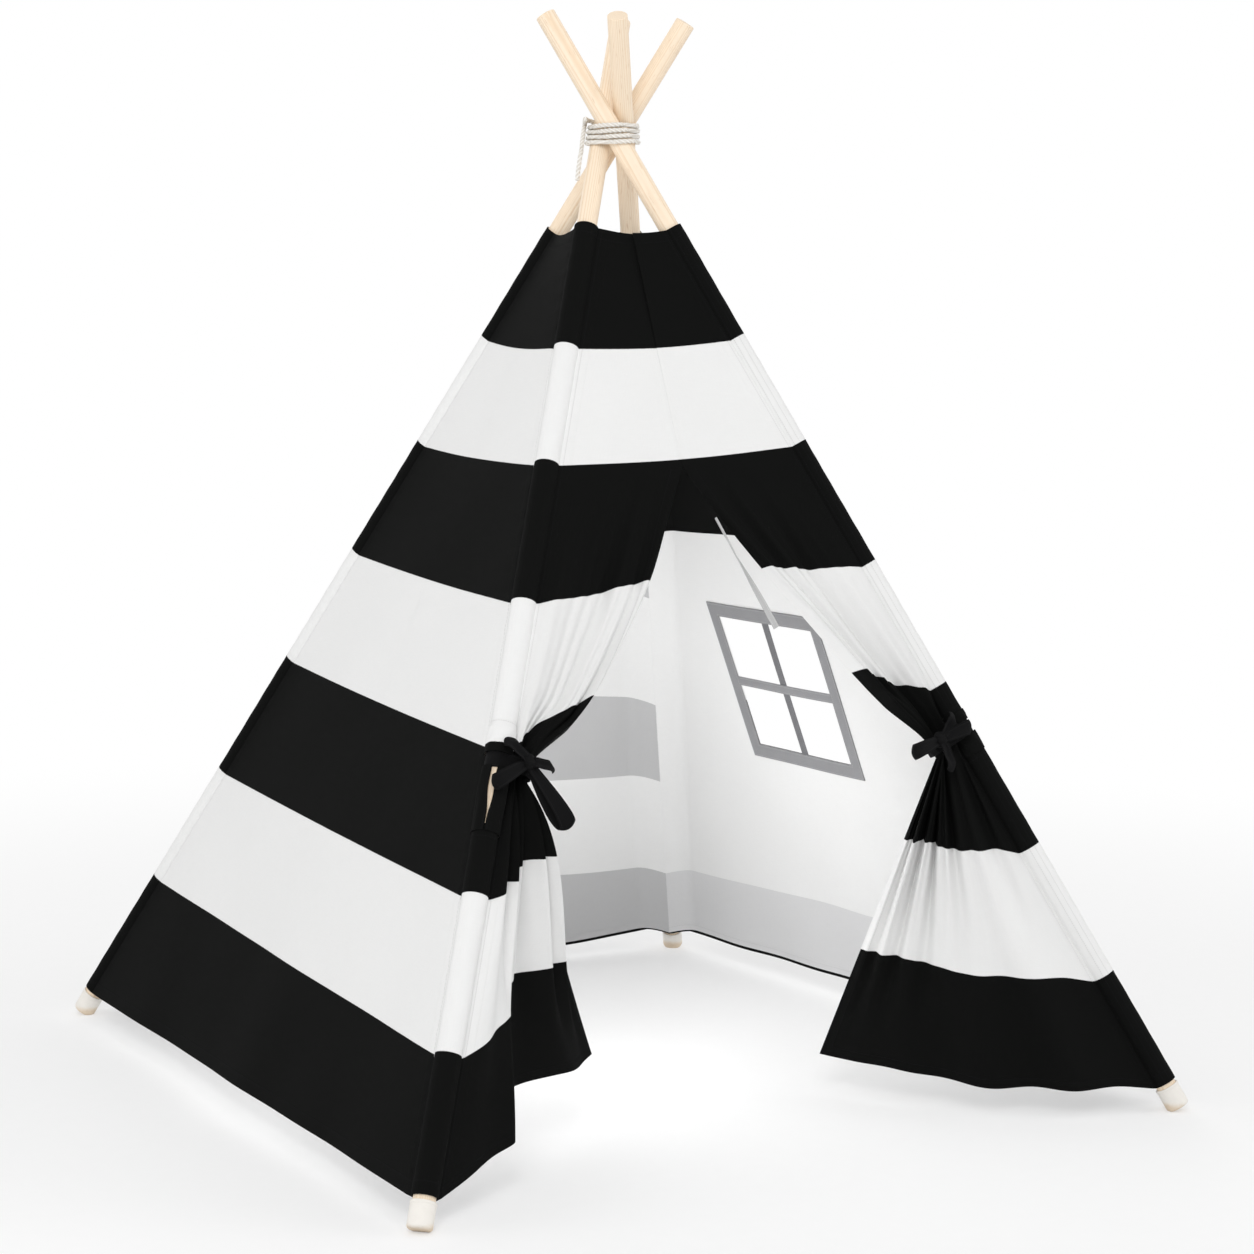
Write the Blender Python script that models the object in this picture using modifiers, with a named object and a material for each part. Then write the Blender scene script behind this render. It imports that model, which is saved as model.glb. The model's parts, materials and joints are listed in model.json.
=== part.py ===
"""Kids teepee: four lashed wooden poles in a striped cloth cover, with tied-back door flaps.

Metres, +Z up. The door faces -Y. The origin is the middle of the footprint, on the floor.
"""

from math import acos, cos, hypot, pi, radians, sin, tan

import bmesh
import bpy
import numpy as np
from mathutils import Matrix, Vector

# Footprint and crossing of the poles. Feet are where the pole axes meet the floor.
FRONT_FEET_SPAN = 1.266
REAR_NARROWING = 0.124
FEET_DEPTH = 1.312
CROSSING_HEIGHT = 1.435
CROSSING_FORWARD = 0.038
INNER_POLE_OFFSET = 0.0156
FRONT_RIGHT_OFFSET = 0.0318
REAR_LEFT_OFFSET = 0.0390

# Poles: dowel sections butted inside connector tubes
POLE_PAST_CROSSING = 0.1883
POLE_DIAMETER = 0.030
LOWEST_JOINT_BELOW_TIE = 0.171
POLE_SECTIONS = 4
SECTION_GAP = 0.0006
POLE_END_ROUND = 0.0015
FERRULE_LENGTH = 0.090
FERRULE_WALL = 0.0012

# Gap between pieces that touch on the real object
CLEARANCE = 0.0003

# Foot caps: the rubber is pressed flat where it meets the floor
CAP_REACH = 0.042
CAP_WALL = 0.0020
CAP_FLOOR = 0.0085
CAP_PRESSED = 0.004
CAP_EDGE_ROUND = 0.003
CAP_LIP_WIDTH = 0.004
CAP_LIP_PROUD = 0.0006

# Cloth cover: distances along the poles, from the floor
HEM_ALONG = 0.048
COVER_BELOW_CROSSING = 0.1807
SLIT_TOP_ALONG = 1.111
CLOTH = 0.0012
SLEEVE_EASE = 0.0005
SEAM_ANGLE = radians(35)
TOP_DIP = 0.006

# Door ties, round the front poles and the gathered flaps
TIE_ALONG = 0.650
TIE_WIDTH = 0.024
LEFT_SLEEVE_OPEN_BELOW = 0.095
LEFT_SLEEVE_OPEN_ABOVE = 0.038
RIGHT_SLEEVE_OPEN_BELOW = 0.030
RIGHT_SLEEVE_OPEN_ABOVE = 0.016
LEFT_BUNDLE_OFFSET = 0.034
RIGHT_BUNDLE_OFFSET = 0.052
BUNDLE_RADIUS = 0.0155
NECK_EDGE_INSET = 0.002
NECK_PAST_POLE = 0.0055
NECK_FOLD = 0.0075
SWAG_FOLD = 0.016
NECK_TAIL = 0.003
FLAP_GAP = 0.0008
FOLD_COUNT = 1.5

# Bows: knot, ribbon loops and tails
RIBBON_WIDTH = 0.024
KNOT_WIDTH = 0.021
KNOT_HEIGHT = 0.024
KNOT_DEPTH = 0.018
LOOP_OPENING = 0.010
LOOP_BULGE = 0.0075
TAIL_LIFT = 0.007
RIBBON_AT_KNOT = 0.011
RIBBON_AT_END = 0.0215
LEFT_LONG_LOOP = 0.105
LEFT_SHORT_LOOP = 0.062
LEFT_TAIL = 0.046
RIGHT_LOOP = 0.062
RIGHT_TAIL = 0.054

# Window in the right panel: outer size of its tape frame
WINDOW_WIDTH = 0.300
WINDOW_HEIGHT = 0.285
WINDOW_TAPE = 0.024
WINDOW_BAR = 0.016
WINDOW_MIDDLE_UP = 0.567
WINDOW_MIDDLE_REARWARD = 0.047
CUT_OVERRUN = 0.010

# Rope lashing
ROPE_DIAMETER = 0.0072
ROPE_PITCH = 0.0080
ROPE_TURNS = 4
ROPE_EASE = 0.0007
ROPE_OVER_RISE = 0.0044
ROPE_STRAND_OUT = 0.0085
ROPE_BELOW_CROSSING = 0.0135
ROPE_TAIL = 0.052
POINTS_PER_TURN = 24

ROPE_START_ANGLE = radians(92)
OVER_ANGLE = radians(60)
DOWN_ANGLE = radians(16)
OVER_STEP_SHARES = (0.25, 0.5, 0.75, 1.0)
DOWN_STEP_SHARES = (0.12, 0.3, 0.5, 0.7, 0.88, 1.0)
ROUND_SIDES = 20
MERGE = 0.00001

# Where, of the way down from the slit's top to the tie, the cloth starts to gather and is gathered
GATHER_START_SHARE = 0.76
GATHER_END_SHARE = 0.95

# Hem of each door flap, from its pole to its free corner, hand-chosen as shares of half the front
# span: inward under the pole, towards the front, and up from the hem's height at the pole
LEFT_HEM_SHARES = (
    (0.166, 0.079, 0.027),
    (0.253, 0.098, 0.043),
    (0.292, 0.087, 0.054),
    (0.335, 0.012, 0.056),
    (0.420, -0.019, 0.070),
    (0.520, 0.040, 0.094),
    (0.632, 0.098, 0.100),
    (0.727, 0.126, 0.097),
    (0.806, 0.142, 0.110),
)
RIGHT_HEM_SHARES = (
    (0.110, 0.079, 0.002),
    (0.200, 0.128, 0.000),
    (0.290, 0.140, 0.002),
    (0.380, 0.152, 0.000),
    (0.474, 0.128, 0.006),
    (0.560, 0.128, 0.012),
    (0.640, 0.090, 0.020),
    (0.720, 0.078, 0.022),
    (0.806, 0.035, 0.025),
)
# The rope's free tail, as shares of its length: on along the strand, down, and out from the poles
TAIL_SHARES = (
    (0.00, 0.00, 0.00),
    (0.15, 0.00, 0.00),
    (0.30, 0.00, 0.02),
    (0.30, 0.22, 0.06),
    (0.30, 0.46, 0.10),
    (0.30, 0.68, 0.12),
)
# Free edge of a door half from the slit's top to its tie: share of the way down, share of the way
# from pole to middle, and share of half the span at the tie that it hangs inside the panel
LEFT_EDGE_SHARES = (
    (0.00, 1.000, 0.000),
    (0.20, 0.815, 0.012),
    (0.40, 0.674, 0.026),
    (0.60, 0.514, 0.036),
    (0.77, 0.374, 0.036),
    (0.90, 0.235, 0.020),
)
RIGHT_EDGE_SHARES = (
    (0.00, 1.000, 0.000),
    (0.20, 0.790, 0.012),
    (0.40, 0.580, 0.026),
    (0.60, 0.410, 0.032),
    (0.77, 0.305, 0.028),
    (0.90, 0.245, 0.014),
)

UP = np.array((0.0, 0.0, 1.0))
WOOD = (0.93, 0.80, 0.62)
WHITE = (0.86, 0.86, 0.86)
BLACK = (0.02, 0.02, 0.022)
GREY = (0.45, 0.45, 0.46)
RUBBER = (0.80, 0.77, 0.71)
ROPE = (0.85, 0.83, 0.78)

POLE_RADIUS = POLE_DIAMETER / 2
FERRULE_RADIUS = POLE_RADIUS + CLEARANCE + FERRULE_WALL
SLEEVE_RADIUS = FERRULE_RADIUS + SLEEVE_EASE + CLOTH
SEAM_RADIUS = SLEEVE_RADIUS + CLEARANCE + CLOTH / 2
CAP_RADIUS = POLE_RADIUS + CLEARANCE + CAP_WALL
ROPE_RADIUS = ROPE_DIAMETER / 2
HALF_FRONT = FRONT_FEET_SPAN / 2
CROSSING_ALONG = hypot(CROSSING_HEIGHT, HALF_FRONT, FEET_DEPTH / 2 - CROSSING_FORWARD)
POLE_LENGTH = CROSSING_ALONG + POLE_PAST_CROSSING
COVER_ALONG = CROSSING_ALONG - COVER_BELOW_CROSSING
LOWEST_JOINT_ALONG = TIE_ALONG - LOWEST_JOINT_BELOW_TIE
# Edges of the front sleeves at the ties
SLEEVE_EDGES = {
    "front_left": (TIE_ALONG - LEFT_SLEEVE_OPEN_BELOW, TIE_ALONG + LEFT_SLEEVE_OPEN_ABOVE),
    "front_right": (TIE_ALONG - RIGHT_SLEEVE_OPEN_BELOW, TIE_ALONG + RIGHT_SLEEVE_OPEN_ABOVE),
}
NECK_END_ALONG = TIE_ALONG - TIE_WIDTH / 2 - NECK_TAIL


def unit(vector):
    return vector / np.linalg.norm(vector)


class Pole:
    """A pole's axis, the way it leans and the hinge line on which it folds."""

    def __init__(self, name, foot_x, foot_y, offset):
        self.name = name
        self.foot = np.array((foot_x, foot_y, 0.0))
        middle = np.array((0.0, -CROSSING_FORWARD, CROSSING_HEIGHT))
        to_middle = middle - self.foot
        to_middle[2] = 0.0
        self.crossing = middle + np.cross(UP, unit(to_middle)) * offset
        self.along = unit(self.crossing - self.foot)
        self.inward = unit(self.along * (1, 1, 0))
        self.hinge = np.cross(self.inward, UP)
        self.lean = acos(self.along[2])

    def point(self, along):
        return self.foot + np.multiply.outer(along, self.along)

    def towards(self, other):
        """Square to the pole, towards the other pole."""
        way = other.foot - self.foot
        return unit(way - self.along * (way @ self.along))

    def outward(self, other):
        """Square to the pole and to the panel between the two poles, away from the inside."""
        way = np.cross(self.along, self.towards(other))
        return unit(way) * np.sign(way @ (self.foot + other.foot))

    def seam(self, other, along, angle=SEAM_ANGLE):
        """Where the cloth between the two poles meets this pole's sleeve."""
        way = cos(angle) * self.towards(other) + sin(angle) * self.outward(other)
        return self.point(along) + way * SEAM_RADIUS


def make_poles():
    half_rear = HALF_FRONT - REAR_NARROWING / 2
    half_depth = FEET_DEPTH / 2
    places = (
        ("front_left", -HALF_FRONT, -half_depth, INNER_POLE_OFFSET),
        ("front_right", HALF_FRONT, -half_depth, FRONT_RIGHT_OFFSET),
        ("rear_right", half_rear, half_depth, INNER_POLE_OFFSET),
        ("rear_left", -half_rear, half_depth, REAR_LEFT_OFFSET),
    )
    return {place[0]: Pole(*place) for place in places}


def clear_scene():
    for item in list(bpy.data.objects):
        bpy.data.objects.remove(item, do_unlink=True)


def new_collection(name):
    collection = bpy.data.collections.new(name)
    bpy.context.scene.collection.children.link(collection)
    return collection


def paint(item, colour, roughness, metallic=0.0):
    material = bpy.data.materials.new(item.name)
    material.use_nodes = True
    shader = material.node_tree.nodes["Principled BSDF"]
    shader.inputs["Base Color"].default_value = (*colour, 1.0)
    shader.inputs["Roughness"].default_value = roughness
    shader.inputs["Metallic"].default_value = metallic
    item.data.materials.clear()
    item.data.materials.append(material)


def add(name, mesh, collection, parent=None):
    item = bpy.data.objects.new(name, mesh)
    collection.objects.link(item)
    if parent:
        item.parent = parent
    return item


def as_cutter(item):
    item.hide_render = True
    item.display_type = "WIRE"
    return item


def smooth(item):
    item.data.shade_smooth()
    item.data.set_sharp_from_angle(angle=radians(40))


def turned(name, profile, collection, closed):
    """A profile of radius and height, turned about its Z axis; a closed profile makes a tube."""
    mesh = bpy.data.meshes.new(name)
    edges = [(i, i + 1) for i in range(len(profile) - 1)]
    if closed:
        edges.append((len(profile) - 1, 0))
    mesh.from_pydata([(radius, 0.0, height) for radius, height in profile], edges, [])
    item = add(name, mesh, collection)
    screw = item.modifiers.new("turn", "SCREW")
    screw.steps = ROUND_SIDES
    screw.render_steps = ROUND_SIDES
    screw.use_merge_vertices = True
    screw.merge_threshold = MERGE
    screw.use_smooth_shade = True
    return item


def stand_on_pole(item, pole, along, parent):
    """Lays an item's Z axis along the pole, with the item's origin at a distance along it."""
    turn = Vector(UP).rotation_difference(Vector(pole.along)).to_matrix().to_4x4()
    item.parent = parent
    item.matrix_parent_inverse = Matrix.Translation(parent.location).inverted()
    item.matrix_basis = Matrix.Translation(Vector(pole.point(along))) @ turn


def cloth(name, columns, rows, place, collection, thickness=CLOTH, parent=None):
    """A grid laid through space by place(across, up), whose two inputs run from 0 to 1."""
    mesh = bpy.data.meshes.new(name)
    grid = bmesh.new()
    bmesh.ops.create_grid(grid, x_segments=columns, y_segments=rows, size=0.5)
    shares = np.array([vertex.co for vertex in grid.verts]) + 0.5
    for vertex, point in zip(grid.verts, place(shares[:, 0], shares[:, 1])):
        vertex.co = point
    grid.to_mesh(mesh)
    grid.free()
    item = add(name, mesh, collection)
    if parent:
        item.parent = parent
        item.matrix_parent_inverse = Matrix.Translation(parent.location).inverted()
    solid = item.modifiers.new("thickness", "SOLIDIFY")
    solid.thickness = thickness
    solid.offset = 0.0
    return item


def between(low, high, share):
    return low + (high - low) * share


def eased(share):
    return share * share * (3 - 2 * share)


def spaced(points, shares):
    """Points at shares of the way along a smooth curve through the given points."""
    points = np.asarray(points)
    ends = np.vstack((2 * points[0] - points[1], points, 2 * points[-1] - points[-2]))
    place = np.clip(shares, 0, 1) * (len(points) - 1)
    first = np.clip(place.astype(int), 0, len(points) - 2)
    t = (place - first)[:, None]
    a, b, c, d = (ends[first + i] for i in range(4))
    return 0.5 * (2 * b + (c - a) * t + (2 * a - 5 * b + 4 * c - d) * t**2 + (3 * b - a - 3 * c + d) * t**3)


def build_pole(pole, collection, cutters, parent, sleeves):
    """Dowel sections, connector tubes, foot cap and cloth sleeves of one pole."""
    cap_end = (CAP_RADIUS * sin(pole.lean) - CAP_PRESSED) / cos(pole.lean)
    wood_start = cap_end + CAP_FLOOR + CLEARANCE
    upper_section = (POLE_LENGTH - LOWEST_JOINT_ALONG) / (POLE_SECTIONS - 1)
    ends = [wood_start] + [LOWEST_JOINT_ALONG + upper_section * count for count in range(POLE_SECTIONS)]
    for number in range(POLE_SECTIONS):
        name = f"{pole.name}_pole_{number + 1}"
        low = ends[number] + SECTION_GAP / 2
        high = ends[number + 1] - SECTION_GAP / 2
        if number == POLE_SECTIONS - 1:
            length = high - low
            profile = (
                (0.0, length),
                (POLE_RADIUS - POLE_END_ROUND, length),
                (POLE_RADIUS, length - POLE_END_ROUND),
                (POLE_RADIUS, 0.0),
                (0.0, 0.0),
            )
            item = turned(name, profile, collection, closed=False)
            stand_on_pole(item, pole, low, parent)
        else:
            bpy.ops.mesh.primitive_cylinder_add(vertices=ROUND_SIDES, radius=POLE_RADIUS, depth=high - low)
            item = bpy.context.object
            item.name = name
            item.data.name = name
            for holder in list(item.users_collection):
                holder.objects.unlink(item)
            collection.objects.link(item)
            smooth(item)
            stand_on_pole(item, pole, (low + high) / 2, parent)
        paint(item, WOOD, 0.55)
    for number in range(1, POLE_SECTIONS):
        middle = ends[number]
        inner = POLE_RADIUS + CLEARANCE
        half = FERRULE_LENGTH / 2
        profile = ((FERRULE_RADIUS, half), (FERRULE_RADIUS, -half), (inner, -half), (inner, half))
        item = turned(f"{pole.name}_ferrule_{number}", profile, collection, closed=True)
        stand_on_pole(item, pole, middle, parent)
        paint(item, (0.75, 0.75, 0.76), 0.35, 1.0)
    build_cap(pole, collection, cutters, parent, cap_end, wood_start)
    for name, low, high in sleeves:
        inner = SLEEVE_RADIUS - CLOTH
        half = (high - low) / 2
        profile = ((SLEEVE_RADIUS, half), (SLEEVE_RADIUS, -half), (inner, -half), (inner, half))
        item = turned(name, profile, collection, closed=True)
        stand_on_pole(item, pole, (low + high) / 2, parent)
        paint(item, BLACK, 0.9)


def build_cap(pole, collection, cutters, parent, cap_end, wood_start):
    """A rubber cup on the pole's foot, pressed flat at the floor."""
    inner = POLE_RADIUS + CLEARANCE
    top = CAP_REACH - cap_end
    lip = CAP_RADIUS + CAP_LIP_PROUD
    bore_floor = wood_start - CLEARANCE - cap_end
    profile = (
        (0.0, bore_floor),
        (inner, bore_floor),
        (inner, top),
        (lip, top),
        (lip, top - CAP_LIP_WIDTH),
        (CAP_RADIUS, top - CAP_LIP_WIDTH - CAP_LIP_PROUD),
        (CAP_RADIUS, CAP_EDGE_ROUND),
        (CAP_RADIUS - CAP_EDGE_ROUND * (1 - cos(pi / 4)), CAP_EDGE_ROUND * (1 - sin(pi / 4))),
        (CAP_RADIUS - CAP_EDGE_ROUND, 0.0),
        (0.0, 0.0),
    )
    cap = turned(f"{pole.name}_foot_cap", profile, collection, closed=False)
    stand_on_pole(cap, pole, cap_end, parent)
    floor_mesh = bpy.data.meshes.new(f"{pole.name}_floor_cut")
    block = bmesh.new()
    bmesh.ops.create_cube(block, size=2 * CAP_REACH)
    block.to_mesh(floor_mesh)
    block.free()
    floor = as_cutter(add(f"{pole.name}_floor_cut", floor_mesh, cutters))
    floor.location = Vector(pole.foot) - Vector(UP) * CAP_REACH
    cut = cap.modifiers.new("pressed flat", "BOOLEAN")
    cut.operation = "DIFFERENCE"
    cut.solver = "EXACT"
    cut.object = floor
    paint(cap, RUBBER, 0.7)


class Panel:
    """The cloth between two poles' sleeves, as seen from outside with the first pole on the left."""

    def __init__(self, left, right):
        self.left = left
        self.right = right
        self.normal = unit(left.outward(right) + right.outward(left))

    def place(self, across, along):
        low = self.left.seam(self.right, along)
        high = self.right.seam(self.left, along)
        dip = TOP_DIP * (along - HEM_ALONG) / (COVER_ALONG - HEM_ALONG) * np.sin(pi * across)
        return low + (high - low) * across[:, None] - np.multiply.outer(dip, unit(self.rise()))

    def width(self, along):
        gap = self.right.seam(self.left, along) - self.left.seam(self.right, along)
        return np.linalg.norm(gap, axis=-1)

    def rise(self):
        """From the hem's middle to the top edge's middle."""
        low = self.left.seam(self.right, HEM_ALONG) + self.right.seam(self.left, HEM_ALONG)
        high = self.left.seam(self.right, COVER_ALONG) + self.right.seam(self.left, COVER_ALONG)
        return (high - low) / 2

    def on_face(self, rightward, upward, lift):
        """Points of the cloth by distance from its middle line and up from its hem, and lifted off it."""
        rise = np.linalg.norm(self.rise())
        along = HEM_ALONG + (COVER_ALONG - HEM_ALONG) * upward / rise
        points = self.place(0.5 + rightward / self.width(along), along)
        return points + self.normal * lift


def build_plain_panel(name, panel, collection):
    def place(across, up):
        return panel.place(across, between(HEM_ALONG, COVER_ALONG, up))

    item = cloth(name, 6, 10, place, collection)
    smooth(item)
    paint(item, WHITE, 0.9)
    return item


def build_window(panel, body, collection, cutters):
    """Cuts the opening in the right panel and adds its four mitred tapes and two crossing bars."""
    half_wide = WINDOW_WIDTH / 2
    half_high = WINDOW_HEIGHT / 2
    open_wide = half_wide - WINDOW_TAPE
    open_high = half_high - WINDOW_TAPE

    def placed(corners, lift):
        """A four-sided patch on the panel from its corners: left low, right low, left high, right high."""
        corners = np.array(corners) + (WINDOW_MIDDLE_REARWARD, WINDOW_MIDDLE_UP)

        def place(across, up):
            low = between(corners[0], corners[1], across[:, None])
            high = between(corners[2], corners[3], across[:, None])
            flat = between(low, high, up[:, None])
            return panel.on_face(flat[:, 0], flat[:, 1], lift)

        return place

    def box(wide, high):
        return ((-wide, -high), (wide, -high), (-wide, high), (wide, high))

    opening = cloth("window_cut", 4, 4, placed(box(open_wide, open_high), 0.0), cutters, CUT_OVERRUN)
    cut = body.modifiers.new("window", "BOOLEAN")
    cut.operation = "DIFFERENCE"
    cut.solver = "EXACT"
    cut.object = as_cutter(opening)

    inside = -(CLOTH + CLEARANCE)
    mitre = CLEARANCE
    tapes = {
        "window_tape_bottom": (
            (-half_wide + mitre, -half_high),
            (half_wide - mitre, -half_high),
            (-open_wide + mitre, -open_high),
            (open_wide - mitre, -open_high),
        ),
        "window_tape_top": (
            (-open_wide + mitre, open_high),
            (open_wide - mitre, open_high),
            (-half_wide + mitre, half_high),
            (half_wide - mitre, half_high),
        ),
        "window_tape_front": (
            (-half_wide, -half_high + mitre),
            (-open_wide, -open_high + mitre),
            (-half_wide, half_high - mitre),
            (-open_wide, open_high - mitre),
        ),
        "window_tape_rear": (
            (open_wide, -open_high + mitre),
            (half_wide, -half_high + mitre),
            (open_wide, open_high - mitre),
            (half_wide, half_high - mitre),
        ),
    }
    for name, corners in tapes.items():
        level = name in ("window_tape_bottom", "window_tape_top")
        item = cloth(name, 4 if level else 1, 1 if level else 4, placed(corners, inside), collection)
        paint(item, GREY, 0.9)
    upright = placed(box(WINDOW_BAR / 2, open_high - CLEARANCE), 0.0)
    paint(cloth("window_bar_upright", 1, 4, upright, collection), GREY, 0.9)
    level = placed(box(open_wide - CLEARANCE, WINDOW_BAR / 2), inside)
    paint(cloth("window_bar_level", 4, 1, level, collection), GREY, 0.9)


class Flap:
    """One half of the door panel: sewn to its pole's sleeve, gathered into a tie, hanging below it."""

    def __init__(self, pole, other, hem_shares, edge_shares, bundle_offset):
        self.pole = pole
        self.other = other
        self.hem_shares = np.array(hem_shares)
        self.edge_shares = np.array(edge_shares)
        self.bundle_offset = bundle_offset
        self.towards = pole.towards(other)
        self.outward = pole.outward(other)
        self.frontward = pole.hinge * -np.sign(pole.hinge[1])

    def middle(self, along):
        """The door panel's middle line, where the two halves are sewn above the slit."""
        near = self.pole.seam(self.other, along)
        far = self.other.seam(self.pole, along)
        way = unit(self.other.foot - self.pole.foot)
        return (near + far) / 2 - way * CLEARANCE / 2

    def neck(self, across, along):
        """The gathered cloth at the tie, as a wave square to the pole."""
        near = POLE_RADIUS + NECK_PAST_POLE
        far = self.bundle_offset + BUNDLE_RADIUS - NECK_EDGE_INSET
        reach = between(near, far, across)
        wave = NECK_FOLD * np.sin(2 * pi * FOLD_COUNT * across)
        return self.pole.point(along) + np.outer(reach, self.towards) + np.outer(wave, self.outward)

    def free_edge(self, share):
        """From the slit's top to the tie."""
        shares = self.edge_shares
        along = between(SLIT_TOP_ALONG, TIE_ALONG, shares[:, 0])
        near = self.pole.seam(self.other, along)
        line = near + (self.middle(along) - near) * shares[:, 1:2]
        points = line - np.outer(shares[:, 2] * HALF_FRONT, self.outward)
        end = self.neck(np.ones(1), np.array([TIE_ALONG]))
        falls = np.append(shares[:, 0], 1.0)
        even = np.interp(share, falls, np.linspace(0, 1, len(falls)))
        return spaced(np.vstack((points, end)), even)

    def upper(self, across, down):
        """The half from the cover's top to just under its tie; down runs from 0 to 1."""
        flat_share = (COVER_ALONG - SLIT_TOP_ALONG) / (COVER_ALONG - NECK_END_ALONG)
        tie_share = (COVER_ALONG - TIE_ALONG) / (COVER_ALONG - NECK_END_ALONG)
        along = between(COVER_ALONG, NECK_END_ALONG, down)
        near = self.pole.seam(self.other, along)
        fall = np.clip((down - flat_share) / (tie_share - flat_share), 0, 1)
        far = np.where((down < flat_share)[:, None], self.middle(along), self.free_edge(fall))
        swag = SWAG_FOLD * np.sin(pi * fall) ** 2 * fall + NECK_FOLD * fall**3
        sheet = near + (far - near) * across[:, None]
        sheet = sheet + np.outer(swag * np.sin(2 * pi * FOLD_COUNT * across), self.outward)
        gather_share = (fall - GATHER_START_SHARE) / (GATHER_END_SHARE - GATHER_START_SHARE)
        gather = eased(np.clip(gather_share, 0, 1))[:, None]
        return sheet + (self.neck(across, along) - sheet) * gather

    def hem(self, across):
        """From the sleeve to the free corner."""
        inward, front, rise = self.hem_shares.T * HALF_FRONT
        start = self.pole.point(HEM_ALONG)
        points = start + np.outer(inward, self.pole.inward) + np.outer(front, self.frontward)
        points = points + np.outer(rise, UP)
        first = start + self.towards * SEAM_RADIUS
        return spaced(np.vstack((first, points)), across)

    def skirt(self, across, down):
        """The hanging part of the flap, a fan from the tie to the hem."""
        top = self.neck(across, np.full(across.shape, NECK_END_ALONG - FLAP_GAP))
        return top + (self.hem(across) - top) * down[:, None]


def build_flap(side, flap, collection, fold_empty, swing_empty):
    upper = cloth(f"front_{side}_panel", 14, 18, flap.upper, collection)
    smooth(upper)
    paint(upper, WHITE, 0.9)
    skirt = cloth(f"{side}_door_flap", 18, 8, flap.skirt, collection, parent=swing_empty)
    smooth(skirt)
    paint(skirt, WHITE, 0.9)
    build_band(side, flap, collection, fold_empty)


def build_band(side, flap, collection, parent):
    """The tie's strap: a belt round the pole and the gathered cloth."""
    pole_round = POLE_RADIUS + CLEARANCE + CLOTH / 2
    bundle_round = BUNDLE_RADIUS + CLEARANCE + CLOTH / 2
    meet = acos((pole_round - bundle_round) / flap.bundle_offset)

    def place(across, up):
        turn = 2 * pi * across
        on_pole = turn < 2 * (pi - meet)
        angle = np.where(on_pole, meet + turn, turn - 2 * (pi - meet) - meet)
        radius = np.where(on_pole, pole_round, bundle_round)
        shift = np.where(on_pole, 0.0, flap.bundle_offset)
        along = TIE_ALONG + TIE_WIDTH * (up - 0.5)
        reach = np.outer(shift + radius * np.cos(angle), flap.towards)
        return flap.pole.point(along) + reach + np.outer(radius * np.sin(angle), flap.outward)

    band = cloth(f"{side}_tie_band", 28, 1, place, collection, parent=parent)
    weld = band.modifiers.new("closed", "WELD")
    weld.merge_threshold = MERGE
    band.modifiers.move(1, 0)
    paint(band, BLACK, 0.85)


def build_bow(side, flap, loops, tails, collection, cutters, parent):
    """Knot, loops and tails of one ribbon, united into one solid."""
    frame_out = flap.outward
    frame_right = unit(np.cross(frame_out, UP)) * -1
    frame_up = np.cross(frame_out, frame_right)
    frame_up = frame_up * np.sign(frame_up[2])
    lift = BUNDLE_RADIUS + 2 * CLEARANCE + CLOTH + KNOT_DEPTH / 2
    centre = flap.pole.point(TIE_ALONG) + flap.towards * flap.bundle_offset + frame_out * lift

    knot_mesh = bpy.data.meshes.new(f"{side}_tie_bow")
    ball = bmesh.new()
    bmesh.ops.create_uvsphere(ball, u_segments=14, v_segments=8, radius=1.0)
    shape = Matrix((frame_right * KNOT_WIDTH / 2, frame_out * KNOT_DEPTH / 2, frame_up * KNOT_HEIGHT / 2))
    bmesh.ops.transform(ball, matrix=shape.transposed().to_4x4(), verts=ball.verts)
    bmesh.ops.recalc_face_normals(ball, faces=ball.faces)
    bmesh.ops.translate(ball, vec=Vector(centre), verts=ball.verts)
    ball.to_mesh(knot_mesh)
    ball.free()
    bow = add(f"{side}_tie_bow", knot_mesh, collection)
    bow.parent = parent
    bow.matrix_parent_inverse = Matrix.Translation(parent.location).inverted()

    def ribbon(name, angle, length, looped):
        way = cos(angle) * frame_right + sin(angle) * frame_up
        side_way = np.cross(frame_out, way)

        def place(across, up):
            if looped:
                run = length * np.sin(pi * up)
                off = LOOP_OPENING * np.sin(2 * pi * up) + LOOP_BULGE * np.sin(pi * up) ** 2
                wide = between(RIBBON_AT_KNOT, RIBBON_WIDTH, np.sin(pi * up))
            else:
                run = length * up
                off = TAIL_LIFT * np.sin(pi * up)
                wide = between(RIBBON_AT_KNOT, RIBBON_AT_END, up)
            line = centre + np.outer(run, way) + np.outer(off, frame_out)
            return line + np.outer(wide * (across - 0.5), side_way)

        piece = cloth(name, 1, 12 if looped else 6, place, cutters)
        unite = bow.modifiers.new(name, "BOOLEAN")
        unite.operation = "UNION"
        unite.solver = "EXACT"
        unite.object = as_cutter(piece)

    for number, (angle, length) in enumerate(loops):
        ribbon(f"{side}_bow_loop_{number + 1}", radians(angle), length, True)
    for number, (angle, length) in enumerate(tails):
        ribbon(f"{side}_bow_tail_{number + 1}", radians(angle), length, False)
    paint(bow, BLACK, 0.85)


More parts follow.
